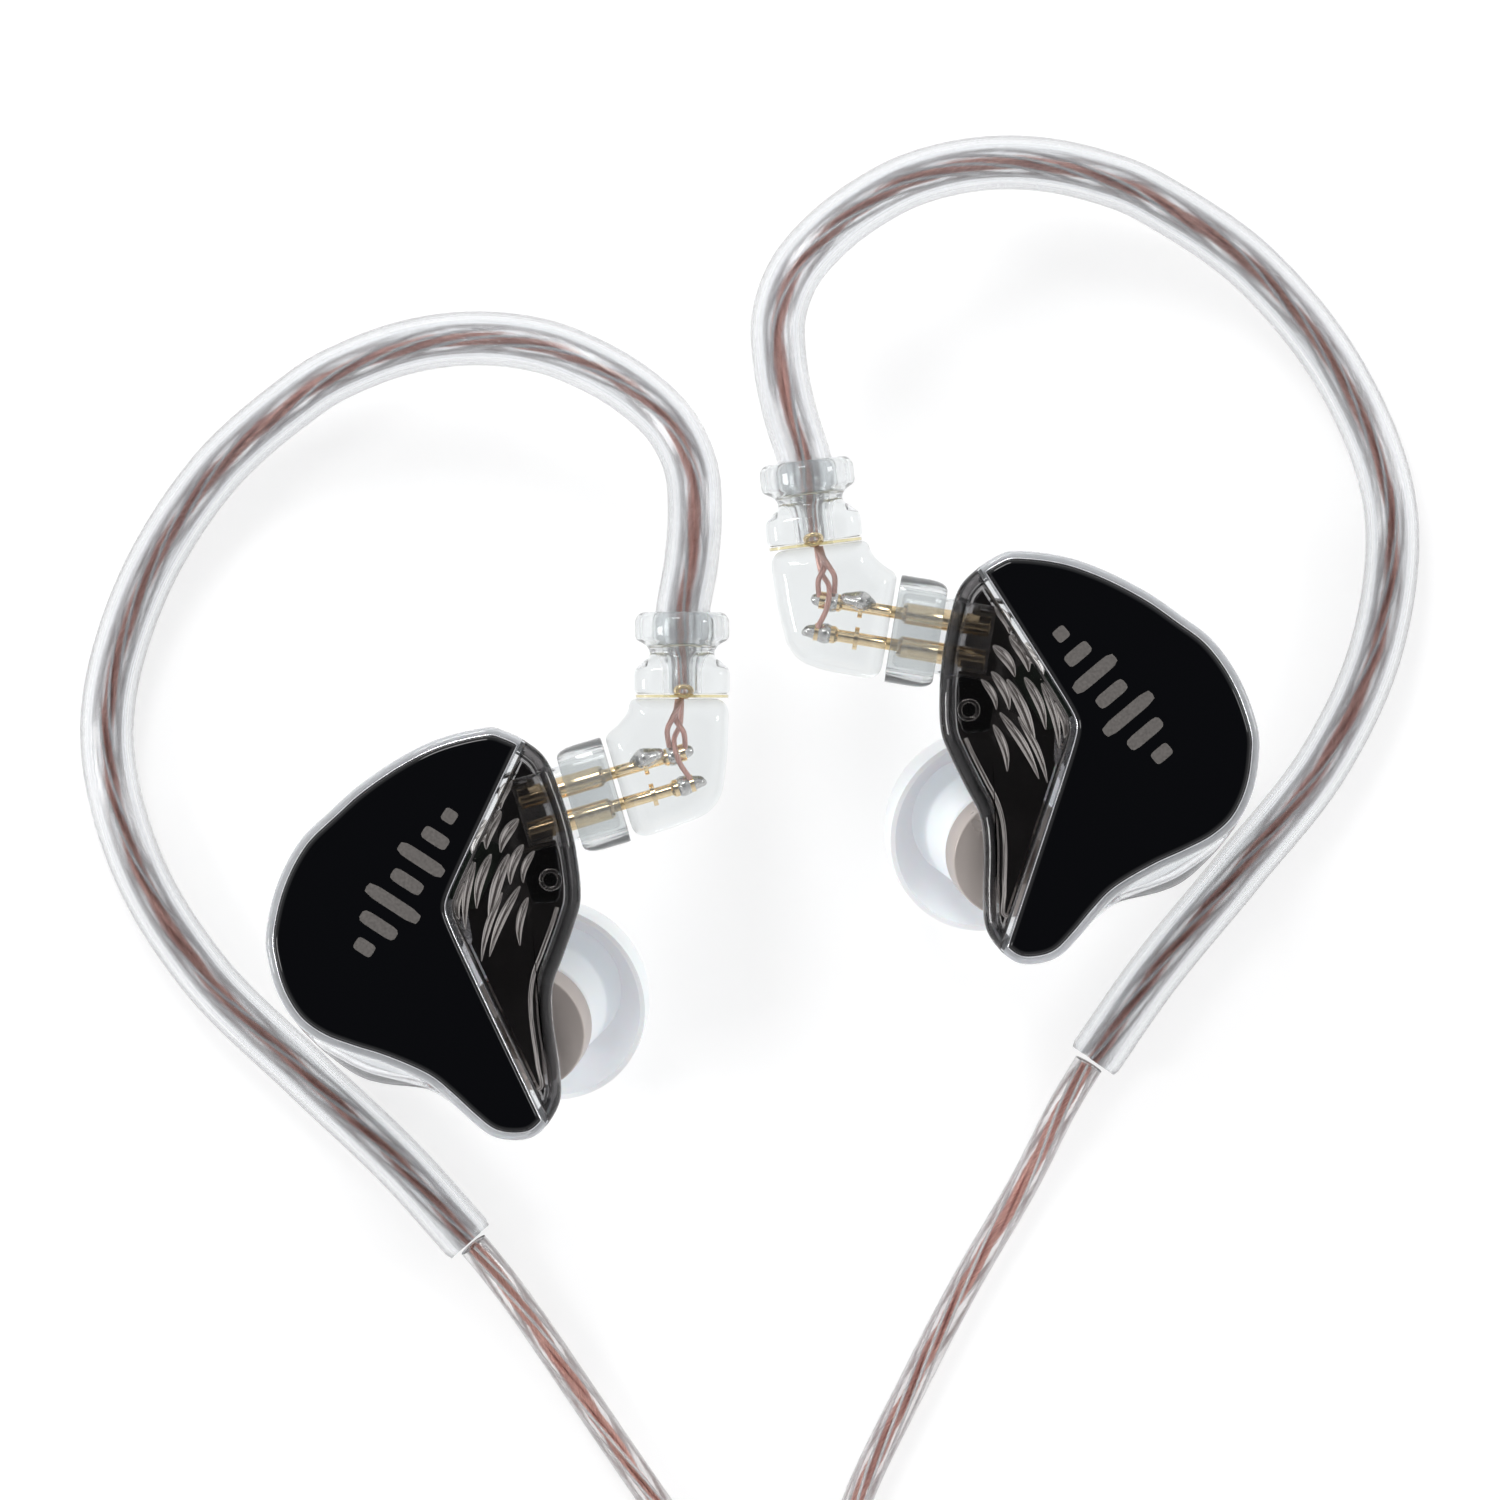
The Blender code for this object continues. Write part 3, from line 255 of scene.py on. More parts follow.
def squircle(half_width, half_height, power, count):
    """Outline of |x/a|^n + |y/b|^n = 1, by angle: a circle at n = 2 and a rounded rectangle above."""
    angle = np.linspace(0.0, 2 * math.pi, count, endpoint=False)
    x, y = np.cos(angle), np.sin(angle)
    reach = (np.abs(x / half_width) ** power + np.abs(y / half_height) ** power) ** (-1.0 / power)
    return np.column_stack([x * reach, y * reach])


def at_height(outline, z):
    """A flat outline as points at one height."""
    return np.column_stack([outline, np.full(len(outline), z)])


def path_length(path):
    return float(np.linalg.norm(np.diff(path, axis=0), axis=1).sum())


# ---------------------------------------------------------------------------------------------------------
# Skins: closed surfaces as arrays of points, faces and pattern coordinates
# ---------------------------------------------------------------------------------------------------------


def skin(rings, loop=False, along=None):
    """Closed skin over rows of points. Each row wraps round, each row joins the next, and the last row
    joins the first when it loops, or else each end row is closed to its own middle point."""
    rings = np.asarray(rings, float)
    rows, cols = rings.shape[:2]
    along = np.linspace(0.0, 1.0, rows) if along is None else np.asarray(along, float)
    points = rings.reshape(-1, 3)
    i = np.arange(rows if loop else rows - 1)[:, None]
    j = np.arange(cols)[None, :]
    low, high, turn = i * cols, ((i + 1) % rows) * cols, (j + 1) % cols
    quads = np.stack([low + j, low + turn, high + turn, high + j], -1).reshape(-1, 4)
    u0, u1 = (j / cols) + 0.0 * i, ((j + 1) / cols) + 0.0 * i
    v0, v1 = along[i] + 0.0 * j, along[(i + 1) % rows] + 0.0 * j
    pattern = np.stack([u0, v0, u1, v0, u1, v1, u0, v1], -1).reshape(-1, 2)
    fans = np.zeros((0, 3), int)
    if not loop:
        points = np.vstack([points, rings[0].mean(axis=0), rings[-1].mean(axis=0)])
        j = np.arange(cols)
        top = (rows - 1) * cols
        start = np.stack([np.full(cols, rows * cols), (j + 1) % cols, j], -1)
        end = np.stack([np.full(cols, rows * cols + 1), top + j, top + (j + 1) % cols], -1)
        fans = np.vstack([start, end])
        ends = np.zeros((6 * cols, 2))
        ends[: 3 * cols, 1], ends[3 * cols :, 1] = along[0], along[-1]
        ends[:, 0] = np.tile(np.repeat(j / cols, 3), 2)
        pattern = np.vstack([pattern, ends])
    return points, quads, fans, pattern


def moved(part, matrix):
    """A skin moved by a matrix."""
    points = part[0] @ np.array(matrix.to_3x3()).T + np.array(matrix.translation)
    return (points, *part[1:])


def to_world(side, part):
    """Takes a skin or points from the side's own frame to the world: mirror, turn, then move."""
    (x, y), turn, mirrored = SIDES[side]
    points = np.array(part[0] if isinstance(part, tuple) else part, float)
    if mirrored:
        points = points * (-1.0, 1.0, 1.0)
    cosine, sine = math.cos(turn), math.sin(turn)
    spun = np.array([[cosine, sine, 0.0], [-sine, cosine, 0.0], [0.0, 0.0, 1.0]])
    points = points @ spun + (x, y, 0.0)
    return (points, *part[1:]) if isinstance(part, tuple) else points


def outward(part):
    """Turns a skin's faces round when its signed volume, the sum of its faces' cones, is negative."""
    points, quads, fans, pattern = part
    corners = np.vstack([quads[:, :3], quads[:, [0, 2, 3]], fans])
    a, b, c = points[corners[:, 0]], points[corners[:, 1]], points[corners[:, 2]]
    if np.einsum("ij,ij->i", a - points[0], np.cross(b - points[0], c - points[0])).sum() >= 0:
        return part
    split = len(quads) * 4
    pattern = np.vstack([
        pattern[:split].reshape(-1, 4, 2)[:, ::-1].reshape(-1, 2),
        pattern[split:].reshape(-1, 3, 2)[:, ::-1].reshape(-1, 2),
    ])
    return points, quads[:, ::-1], fans[:, ::-1], pattern


def add_piece(name, parts, material, body="root", stands_for=(), sharp=38.0):
    """Makes one object of skins that are already in world places."""
    points, faces, quads_uv, fans_uv, tris, start = [], [], [], [], [], 0
    for part in parts:
        place, quads, fans, pattern = outward(part)
        faces.append(quads + start)
        tris.append(fans + start)
        quads_uv.append(pattern[: len(quads) * 4])
        fans_uv.append(pattern[len(quads) * 4 :])
        points.append(place)
        start += len(place)
    mesh = bpy.data.meshes.new(name)
    mesh.from_pydata(np.vstack(points), [], np.vstack(faces).tolist() + np.vstack(tris).tolist())
    layer = mesh.uv_layers.new(name="pattern")
    layer.data.foreach_set("uv", np.vstack(quads_uv + fans_uv).ravel())
    mesh.shade_smooth()
    mesh.set_sharp_from_angle(angle=math.radians(sharp))
    mesh.validate()
    mesh.materials.append(material)
    piece = bpy.data.objects.new(name, mesh)
    bpy.context.scene.collection.objects.link(piece)
    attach(piece, body)
    if stands_for:
        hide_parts(*stands_for)
    return piece


def cut_away(piece, *cutters):
    """Cuts closed skins out of a piece and keeps the result as its mesh."""
    tools = []
    for number, part in enumerate(cutters):
        place, quads, fans, _ = outward(part)
        mesh = bpy.data.meshes.new(f"{piece.name}_cutter_{number}")
        mesh.from_pydata(place, [], quads.tolist() + fans.tolist())
        tool = bpy.data.objects.new(mesh.name, mesh)
        bpy.context.scene.collection.objects.link(tool)
        cut = piece.modifiers.new("cut", "BOOLEAN")
        cut.operation = "DIFFERENCE"
        cut.solver = "EXACT"
        cut.object = tool
        tools.append(tool)
    graph = bpy.context.evaluated_depsgraph_get()
    mesh = bpy.data.meshes.new_from_object(piece.evaluated_get(graph), depsgraph=graph)
    piece.modifiers.clear()
    piece.data = mesh
    mesh.shade_smooth()
    mesh.set_sharp_from_angle(angle=math.radians(38.0))
    for tool in tools:
        bpy.data.objects.remove(tool, do_unlink=True)


def turned(profile, matrix, sides=72, loop=False):
    """Surface of revolution: each (height, radius) of the profile is a circle about z."""
    profile = np.array(profile, float)
    angle = np.linspace(0.0, 2 * math.pi, sides, endpoint=False)[None, :]
    height, radius = profile[:, :1], profile[:, 1:]
    rings = np.stack([radius * np.cos(angle), radius * np.sin(angle), height + 0.0 * angle], -1)
    return moved(skin(rings, loop), matrix)


def lofted(outlines, heights, matrix=Matrix.Identity(4), loop=False):
    """Rows of equal outlines at their heights along z."""
    rings = np.stack([at_height(outline, z) for outline, z in zip(outlines, heights)])
    return moved(skin(rings, loop), matrix)


def frames_along(path):
    """Unit vectors beside and above a path that never stands upright: the beside one is level."""
    tangent = np.gradient(path, axis=0)
    tangent /= np.linalg.norm(tangent, axis=1)[:, None]
    beside = np.cross(tangent, (0.0, 0.0, 1.0))
    beside /= np.linalg.norm(beside, axis=1)[:, None]
    return beside, np.cross(beside, tangent)


def tube_rings(path, radius, sides):
    """Circles of a radius, or of one radius for each point, square to a path."""
    beside, above = frames_along(path)
    angle = np.linspace(0.0, 2 * math.pi, sides, endpoint=False)[None, :, None]
    radius = np.broadcast_to(np.asarray(radius, float), (len(path),))[:, None, None]
    return path[:, None] + radius * (np.cos(angle) * beside[:, None] + np.sin(angle) * above[:, None])


def distances(path):
    """Distance of each point of a path from its start, along the path."""
    return np.concatenate([[0.0], np.cumsum(np.linalg.norm(np.diff(path, axis=0), axis=1))])


def tube(path, radius, sides=16):
    """A closed round tube along a path."""
    return skin(tube_rings(path, radius, sides), along=distances(path))


def sleeve(path, outer, inner, sides=32):
    """A hollow tube: the outer circles run one way along the path and the inner ones back."""
    edge = 0.12 * MM
    step = np.linspace(0.0, 1.0, len(path))
    trim = np.minimum(np.minimum(step, 1 - step) * path_length(path) / edge, 1.0)
    out = tube_rings(path, outer - edge * (1 - np.sqrt(np.clip(1 - (1 - trim) ** 2, 0.0, 1.0))), sides)
    back = tube_rings(path, inner, sides)[::-1]
    along = distances(path)
    return skin(np.concatenate([out, back]), loop=True, along=np.concatenate([along, along[::-1]]))


def wrapped(path, reach, pitch, phase):
    """A helix round a path: a point at a reach from it that turns once in each pitch."""
    beside, above = frames_along(path)
    turn = (distances(path) / pitch * 2 * math.pi + phase)[:, None]
    return path + reach * (np.cos(turn) * beside + np.sin(turn) * above)


# ---------------------------------------------------------------------------------------------------------
# Places that pieces share
# ---------------------------------------------------------------------------------------------------------


def axis_frame(origin, axis, up=(0.0, 0.0, 1.0)):
    """Matrix that takes local z to the axis and local y as near to up as it can be."""
    z = Vector(axis).normalized()
    x = Vector(up).cross(z).normalized()
    matrix = Matrix((x, z.cross(x), z)).transposed().to_4x4()
    matrix.translation = Vector(origin)
    return matrix


def nozzle_frame():
    """Where the nozzle starts: its z runs out along the tube, down and away from the cup."""
    across = math.sin(NOZZLE_LEAN)
    axis = (across * math.cos(NOZZLE_HEADING), across * math.sin(NOZZLE_HEADING), -math.cos(NOZZLE_LEAN))
    return axis_frame((*NOZZLE_CENTRE, SEAT_Z), axis)


def connector_frame(across=0.0):
    """Where the plug meets the ear, a distance across from its middle: z runs along the pins into the
    plug."""
    cosine, sine = math.cos(CONNECTOR_HEADING), math.sin(CONNECTOR_HEADING)
    return axis_frame((-sine * across, cosine * across, CONNECTOR_Z), (cosine, sine, 0.0))


def relief_frame():
    """Where the strain relief stands: z runs along the cable, out of the plug."""
    return axis_frame((RELIEF_X, 0.0, CONNECTOR_Z), (0.0, 1.0, 0.0))


def hook_path(count):
    """Route of the hook. It falls from the plug's height to the surface as an S curve over a little more
    than its first half."""
    flat = smooth_curve(HOOK_POINTS, count) * MM
    share = np.clip(np.linspace(0.0, 1.0, count) / HOOK_FALL, 0.0, 1.0)
    fall = share * share * (3.0 - 2.0 * share)
    return np.column_stack([flat, CONNECTOR_Z + (SLEEVE_RADIUS - CONNECTOR_Z) * fall])


def wound(knots, step=4.0):
    """Route wound round the coil's centre through (angle, radius, height) knots, in degrees and
    millimetres: radius and height change evenly with angle, and are then averaged over 50 degrees."""
    knots = np.array(knots, float)
    angle = np.arange(knots[0, 0], knots[-1, 0], -step)
    radius = np.interp(-angle, -knots[:, 0], knots[:, 1])
    height = np.interp(-angle, -knots[:, 0], knots[:, 2])
    width = int(50 / step)
    window = np.ones(width) / width

    def soft(values):
        padded = np.concatenate([np.full(width, values[0]), values, np.full(width, values[-1])])
        return np.convolve(padded, window, "same")[width:-width]

    turn = np.radians(angle)
    radius, height = soft(radius), soft(height)
    x, y = COIL_CENTRE
    return np.column_stack([x + radius * np.cos(turn), y + radius * np.sin(turn), height])


def curl_in(offset, climb):
    """Quarter circle from the bottom of the hole into the splitter, from the height of a layer down to the
    splitter's. The climb falls as cos(t)^0.47, which keeps two cords side by side apart."""
    turn = np.linspace(0.0, math.pi / 2, 14)
    radius = 4.1
    x = SPLITTER_X + offset + radius - radius * np.sin(turn)
    y = SPLITTER_ENDS[0] - radius * np.cos(turn)
    rise = climb * np.maximum(np.cos(turn), 0.0) ** 0.47
    z = COIL_BASE + SIDE_RADIUS + 0.35 * (1.0 - np.cos(turn)) + rise
    return np.vstack([np.column_stack([x, y, z]), (x[-1], y[-1] + 0.8, z[-1])])


def left_route():
    """Down to the coil, three and a quarter turns inwards on its floor, then a curl into the splitter."""
    start = smooth_curve(LEFT_CABLE_POINTS, 90)
    low = COIL_BASE + SIDE_RADIUS
    spiral = wound(((32.0, 16.9, low - 0.2), (0.0, 15.4, low), (-1164.0, 9.15, low)))
    return join_route(start, spiral[:-2], curl_in(-1.0, 0.0))


def right_route():
    """The same, one layer higher."""
    start = smooth_curve(RIGHT_CABLE_POINTS, 130)
    low = COIL_BASE + SIDE_RADIUS + SIDE_LAYER
    spiral = wound(((8.0, 17.3, low), (-30.0, 15.4, low), (-1152.0, 9.3, low)))
    return join_route(start, spiral[:-2], curl_in(1.0, SIDE_LAYER + 0.01))


def join_route(*runs):
    """One smooth route through the runs: a knot for each 1.5 mm, each averaged with its neighbours four
    times, and a cubic curve through them."""
    knots = np.vstack([np.array(run, float) for run in runs])
    length = path_length(knots)
    route = evenly(knots, int(length / 1.5))
    for _ in range(4):
        route[1:-1] = (route[:-2] + 2 * route[1:-1] + route[2:]) / 4
    route = smooth_curve(route, int(length / 0.6))
    return route * MM


def main_route():
    """From the splitter round the hole, where it climbs over the splitter, then three layers of turns, out,
    in and out, then down round the outside to the plug."""
    turn = np.radians(np.arange(180.0, 24.0, -8.0))
    curl = 5.2
    start = np.column_stack([
        SPLITTER_X + curl + curl * np.cos(turn), SPLITTER_ENDS[1] - 2.0 + curl * np.sin(turn),
        np.linspace(2.2, 3.2, len(turn)),
    ])
    low = COIL_BASE + 2 * SIDE_LAYER + MAIN_RADIUS + 0.05
    knots = [
        (18.0, 7.3, 3.3), (-20.0, 7.0, 4.55), (-95.0, 5.8, 5.2), (-122.0, 5.55, low), (-180.0, 5.55, low),
    ]
    angle, layer = -300.0, MAIN_LAYER_TURN
    inner = 9.2
    outer = inner + MAIN_STEP * layer / 360.0
    for number in range(3):
        here, there = (inner, outer) if number % 2 == 0 else (outer, inner)
        height = low + MAIN_LAYER * number
        knots += [(angle, here, height), (angle - layer, there, height)]
        angle -= layer + 60.0
    outside, top, bottom = 19.6, 11.0, MAIN_RADIUS
    end = angle - 15.0
    share = np.linspace(0.0, 1.0, 18)
    fall = share * share * (3.0 - 2.0 * share)
    knots += list(zip(end - 170.0 * share, np.full(18, outside), top - (top - bottom) * fall))
    return join_route(start, wound(knots), MAIN_TAIL_POINTS)


# ---------------------------------------------------------------------------------------------------------
# Effects that materials share, and the materials
# ---------------------------------------------------------------------------------------------------------


def new_group(name, inputs, outputs):
    tree = bpy.data.node_groups.new(name, "ShaderNodeTree")
    for label, kind, value in inputs:
        socket = tree.interface.new_socket(label, in_out="INPUT", socket_type=kind)
        if value is not None:
            socket.default_value = value
    for label, kind in outputs:
        tree.interface.new_socket(label, in_out="OUTPUT", socket_type=kind)
    return tree, tree.nodes.new("NodeGroupInput"), tree.nodes.new("NodeGroupOutput")


def math_node(tree, operation, first, second=None):
    node = tree.nodes.new("ShaderNodeMath")
    node.operation = operation
    for socket, value in zip(node.inputs, (first, second)):
        if isinstance(value, bpy.types.NodeSocket):
            tree.links.new(value, socket)
        elif value is not None:
            socket.default_value = value
    return node.outputs[0]


def make_grain_group():
    """Fine mottling: noise spread between a low and a high value, and the same noise as a height."""
    tree, given, result = new_group(
        "fine_grain",
        (("Vector", "NodeSocketVector", None), ("Scale", "NodeSocketFloat", 2000.0),
         ("Low", "NodeSocketFloat", 0.1), ("High", "NodeSocketFloat", 0.2)),
        (("Value", "NodeSocketFloat"), ("Height", "NodeSocketFloat")),
    )
    noise = tree.nodes.new("ShaderNodeTexNoise")
    noise.inputs["Detail"].default_value = 4.0
    spread = tree.nodes.new("ShaderNodeMapRange")
    spread.inputs["From Min"].default_value = 0.35
    spread.inputs["From Max"].default_value = 0.65
    tree.links.new(given.outputs["Vector"], noise.inputs["Vector"])
    tree.links.new(given.outputs["Scale"], noise.inputs["Scale"])
    tree.links.new(noise.outputs["Fac"], spread.inputs["Value"])
    tree.links.new(given.outputs["Low"], spread.inputs["To Min"])
    tree.links.new(given.outputs["High"], spread.inputs["To Max"])
    tree.links.new(spread.outputs[0], result.inputs["Value"])
    tree.links.new(noise.outputs["Fac"], result.inputs["Height"])
    return tree


def make_streak_group():
    """Lines that run along a tube: noise on a circle round the tube, drawn out along it."""
    tree, given, result = new_group(
        "length_streaks",
        (("Vector", "NodeSocketVector", None), ("Lines", "NodeSocketFloat", 3.0),
         ("Run", "NodeSocketFloat", 40.0), ("Twist", "NodeSocketFloat", 0.0)),
        (("Mask", "NodeSocketFloat"), ("Height", "NodeSocketFloat")),
    )
    split = tree.nodes.new("ShaderNodeSeparateXYZ")
    tree.links.new(given.outputs["Vector"], split.inputs[0])
    turn = math_node(tree, "MULTIPLY", split.outputs[1], given.outputs["Twist"])
    turn = math_node(tree, "ADD", split.outputs[0], turn)
    angle = math_node(tree, "MULTIPLY", turn, 2 * math.pi)
    join = tree.nodes.new("ShaderNodeCombineXYZ")
    x = math_node(tree, "MULTIPLY", math_node(tree, "COSINE", angle), given.outputs["Lines"])
    y = math_node(tree, "MULTIPLY", math_node(tree, "SINE", angle), given.outputs["Lines"])
    z = math_node(tree, "MULTIPLY", split.outputs[1], given.outputs["Run"])
    for value, socket in zip((x, y, z), join.inputs):
        tree.links.new(value, socket)
    noise = tree.nodes.new("ShaderNodeTexNoise")
    noise.inputs["Scale"].default_value = 1.0
    noise.inputs["Detail"].default_value = 5.0
    noise.inputs["Roughness"].default_value = 0.65
    tree.links.new(join.outputs[0], noise.inputs["Vector"])
    sharpen = tree.nodes.new("ShaderNodeMapRange")
    sharpen.inputs["From Min"].default_value = 0.42
    sharpen.inputs["From Max"].default_value = 0.58
    tree.links.new(noise.outputs["Fac"], sharpen.inputs["Value"])
    tree.links.new(sharpen.outputs[0], result.inputs["Mask"])
    tree.links.new(noise.outputs["Fac"], result.inputs["Height"])
    return tree


def use_group(material, tree, coordinates, **values):
    nodes = material.node_tree
    group = nodes.nodes.new("ShaderNodeGroup")
    group.node_tree = tree
    source = nodes.nodes.new("ShaderNodeTexCoord")
    nodes.links.new(source.outputs[coordinates], group.inputs["Vector"])
    for label, value in values.items():
        group.inputs[label].default_value = value
    return group


def plain_surface(name, colour, roughness, metallic=0.0, **sockets):
    material = bpy.data.materials.new(name)
    material.use_nodes = True
    shader = material.node_tree.nodes["Principled BSDF"]
    shader.inputs["Base Color"].default_value = (*colour, 1.0)
    shader.inputs["Roughness"].default_value = roughness
    shader.inputs["Metallic"].default_value = metallic
    for label, value in sockets.items():
        shader.inputs[label.replace("_", " ")].default_value = value
    material.diffuse_color = (*colour, 1.0)
    return material, shader


def add_bump(material, shader, height, strength, distance):
    nodes = material.node_tree
    bump = nodes.nodes.new("ShaderNodeBump")
    bump.inputs["Strength"].default_value = strength
    bump.inputs["Distance"].default_value = distance
    nodes.links.new(height, bump.inputs["Height"])
    nodes.links.new(bump.outputs["Normal"], shader.inputs["Normal"])


def add_tint(material, shader, mask, low, high):
    """Base colour, and any light given off, runs from one colour to another with a mask."""
    nodes = material.node_tree
    mix = nodes.nodes.new("ShaderNodeMix")
    mix.data_type = "RGBA"
    mix.inputs["A"].default_value = (*low, 1.0)
    mix.inputs["B"].default_value = (*high, 1.0)
    nodes.links.new(mask, mix.inputs["Factor"])
    nodes.links.new(mix.outputs["Result"], shader.inputs["Base Color"])
    nodes.links.new(mix.outputs["Result"], shader.inputs["Emission Color"])


def grained(name, colour, roughness, metallic=0.0, scale=1500.0, spread=0.3, bump=0.0, dark=None, **sockets):
    """A surface whose roughness, and colour where a darker one is given, vary with fine grain."""
    material, shader = plain_surface(name, colour, roughness, metallic, **sockets)
    low, high = roughness * (1 - spread), roughness * (1 + spread)
    group = use_group(material, GROUPS["grain"], "Object", Scale=scale, Low=low, High=high)
    material.node_tree.links.new(group.outputs["Value"], shader.inputs["Roughness"])
    if bump:
        add_bump(material, shader, group.outputs["Height"], bump, 0.02 * MM)
    if dark:
        add_tint(material, shader, group.outputs["Height"], dark, colour)
    return material


def streaked(name, colour, roughness, metallic=0.0, lines=3.0, run=40.0, twist=0.0, bump=0.3, depth=0.05,
             other=None, **sockets):
    """A surface with lines along its tube, in its bump and, where a second colour is given, its colour."""
    material, shader = plain_surface(name, colour, roughness, metallic, **sockets)
    group = use_group(material, GROUPS["streak"], "UV", Lines=lines, Run=run, Twist=twist)
    add_bump(material, shader, group.outputs["Height"], bump, depth * MM)
    if other:
        add_tint(material, shader, group.outputs["Mask"], colour, other)
    return material


def edge_darkened(name, colour, painted_edge_shade, roughness, **sockets):
    """Clear inside, with painted shade on its rounded edge: darker there, by the row of the skin that a
    point lies in.
    """
    material, shader = plain_surface(name, colour, roughness, **sockets)
    tree = material.node_tree
    split = tree.nodes.new("ShaderNodeSeparateXYZ")
    tree.links.new(tree.nodes.new("ShaderNodeTexCoord").outputs["UV"], split.inputs[0])
    inner = math_node(tree, "GREATER_THAN", split.outputs[1], 0.93)
    add_tint(material, shader, inner, painted_edge_shade, colour)
    group = use_group(material, GROUPS["grain"], "Object", Scale=400.0)
    add_bump(material, shader, group.outputs["Height"], 0.05, 0.02 * MM)
    return material


def make_materials(colours):
    """Every finish of the set. Clear plastics keep a plain metallic and transmission weight."""
    clear = {"Transmission_Weight": 1.0, "IOR": 1.45}
    return {
        "black": grained("gloss_black", tuple(colours.black), 0.05, scale=900.0, spread=0.5,
                         Specular_IOR_Level=0.3),
        "shell": grained("clear_shell", (0.95, 0.965, 0.98), 0.03, scale=500.0, bump=0.06,
                         Transmission_Weight=0.88, IOR=1.45),
        "rim": grained("frosted_rim", (0.93, 0.95, 0.97), 0.04, scale=500.0, bump=0.06,
                       Transmission_Weight=0.68, IOR=1.45),
        "bead": grained("bright_bead", (0.9, 0.9, 0.92), 0.2, 1.0, scale=2000.0, dark=(0.6, 0.6, 0.62)),
        # The windows' darker rounded edge is painted shade.
        "smoke": edge_darkened("smoky_window", tuple(colours.smoke), tuple(colours.window_edge_shade), 0.03,
                               **clear),
        "plug": grained("clear_plug", (0.87, 0.895, 0.9), 0.03, scale=350.0, bump=0.16,
                        Transmission_Weight=0.91, IOR=1.45),
        "seam": grained("seam_glue", (0.93, 0.85, 0.55), 0.15, Transmission_Weight=0.8, IOR=1.5),
        "sleeve": streaked("hook_sleeve", (0.97, 0.975, 0.98), 0.06, lines=10.0, run=5.0, bump=0.35,
                           depth=0.06, other=(0.84, 0.86, 0.88), **clear),
        "jacket": streaked("cable_jacket", (0.97, 0.965, 0.965), 0.05, lines=5.0, run=20.0, twist=45.0,
                           bump=0.35, depth=0.06, other=(0.86, 0.85, 0.85), **clear),
        # The tips' faint glow is painted light, standing in for light that passes through the silicone.
        "silicone": grained("tip_silicone", tuple(colours.silicone), 0.42, scale=700.0, bump=0.08,
                            Subsurface_Weight=0.2, Subsurface_Scale=0.0015,
                            Emission_Color=(0.92, 0.955, 1.0, 1.0), Emission_Strength=0.12),
        "gold": grained("gold_plate", (0.97, 0.8, 0.52), 0.16, 1.0, scale=3000.0, dark=(0.8, 0.58, 0.3)),
        "steel": grained("brushed_steel", (0.62, 0.62, 0.64), 0.28, 1.0, scale=2500.0, bump=0.1),
        "tin": grained("solder", (0.82, 0.81, 0.79), 0.22, 1.0, scale=2200.0, bump=0.5,
                       dark=(0.4, 0.39, 0.38)),
        "copper": streaked("copper_strands", tuple(colours.copper), 0.3, 0.6, lines=5.0, run=900.0,
                           twist=500.0, bump=0.6, depth=0.05, other=(0.5, 0.24, 0.2)),
        "silver": streaked("silver_strands", (0.93, 0.93, 0.94), 0.25, 0.4, lines=5.0, run=900.0,
                           twist=400.0, bump=0.6, depth=0.05, other=(0.7, 0.68, 0.68)),
        "print": grained("grey_print", tuple(colours.printed), 0.42, 0.2, scale=6000.0,
                         dark=(0.1, 0.095, 0.09)),
        # The deck's faint glow is painted light.
        "deck": grained("dark_deck", (0.04, 0.036, 0.036), 0.12, scale=150.0, spread=0.5, bump=0.08,
                        dark=(0.012, 0.011, 0.012), Emission_Strength=0.15),
        # The drops' glow is painted light, and their bright and dark streaks are painted highlight and
        # shade.
        "resin": streaked("set_resin", (0.95, 0.93, 0.91), 0.1, lines=1.3, run=260.0, bump=0.6, depth=0.08,
                          other=(0.12, 0.11, 0.105), Emission_Strength=0.85),
        # Thin glowing tubes along the drops: painted highlights.
        "painted_glint": grained("resin_glint", (0.9, 0.89, 0.87), 0.15, scale=900.0,
                         Emission_Color=(1.0, 0.98, 0.96, 1.0), Emission_Strength=0.75),
        "rib": grained("smoky_rib", (0.2, 0.18, 0.17), 0.12, scale=500.0, dark=(0.05, 0.045, 0.045)),
        "nozzle": grained("nozzle_tube", (0.57, 0.51, 0.475), 0.3, 0.35, scale=200.0,
                          dark=(0.5, 0.445, 0.41)),
        "film": grained("driver_film", (0.55, 0.45, 0.32), 0.35, scale=1500.0),
        "wire": streaked("voice_coil_wire", (0.75, 0.38, 0.2), 0.3, 0.9, lines=2.0, run=9000.0, bump=0.5),
        "board": grained("circuit_board", (0.03, 0.05, 0.035), 0.4, scale=1800.0, dark=(0.01, 0.018, 0.012)),
        "strap": streaked("woven_strap", (0.022, 0.022, 0.024), 0.75, lines=9.0, run=2500.0, bump=0.9,
                          depth=0.25, other=(0.055, 0.055, 0.06), Sheen_Weight=0.3),
    }


# ---------------------------------------------------------------------------------------------------------
# Ear shell pieces
# ---------------------------------------------------------------------------------------------------------


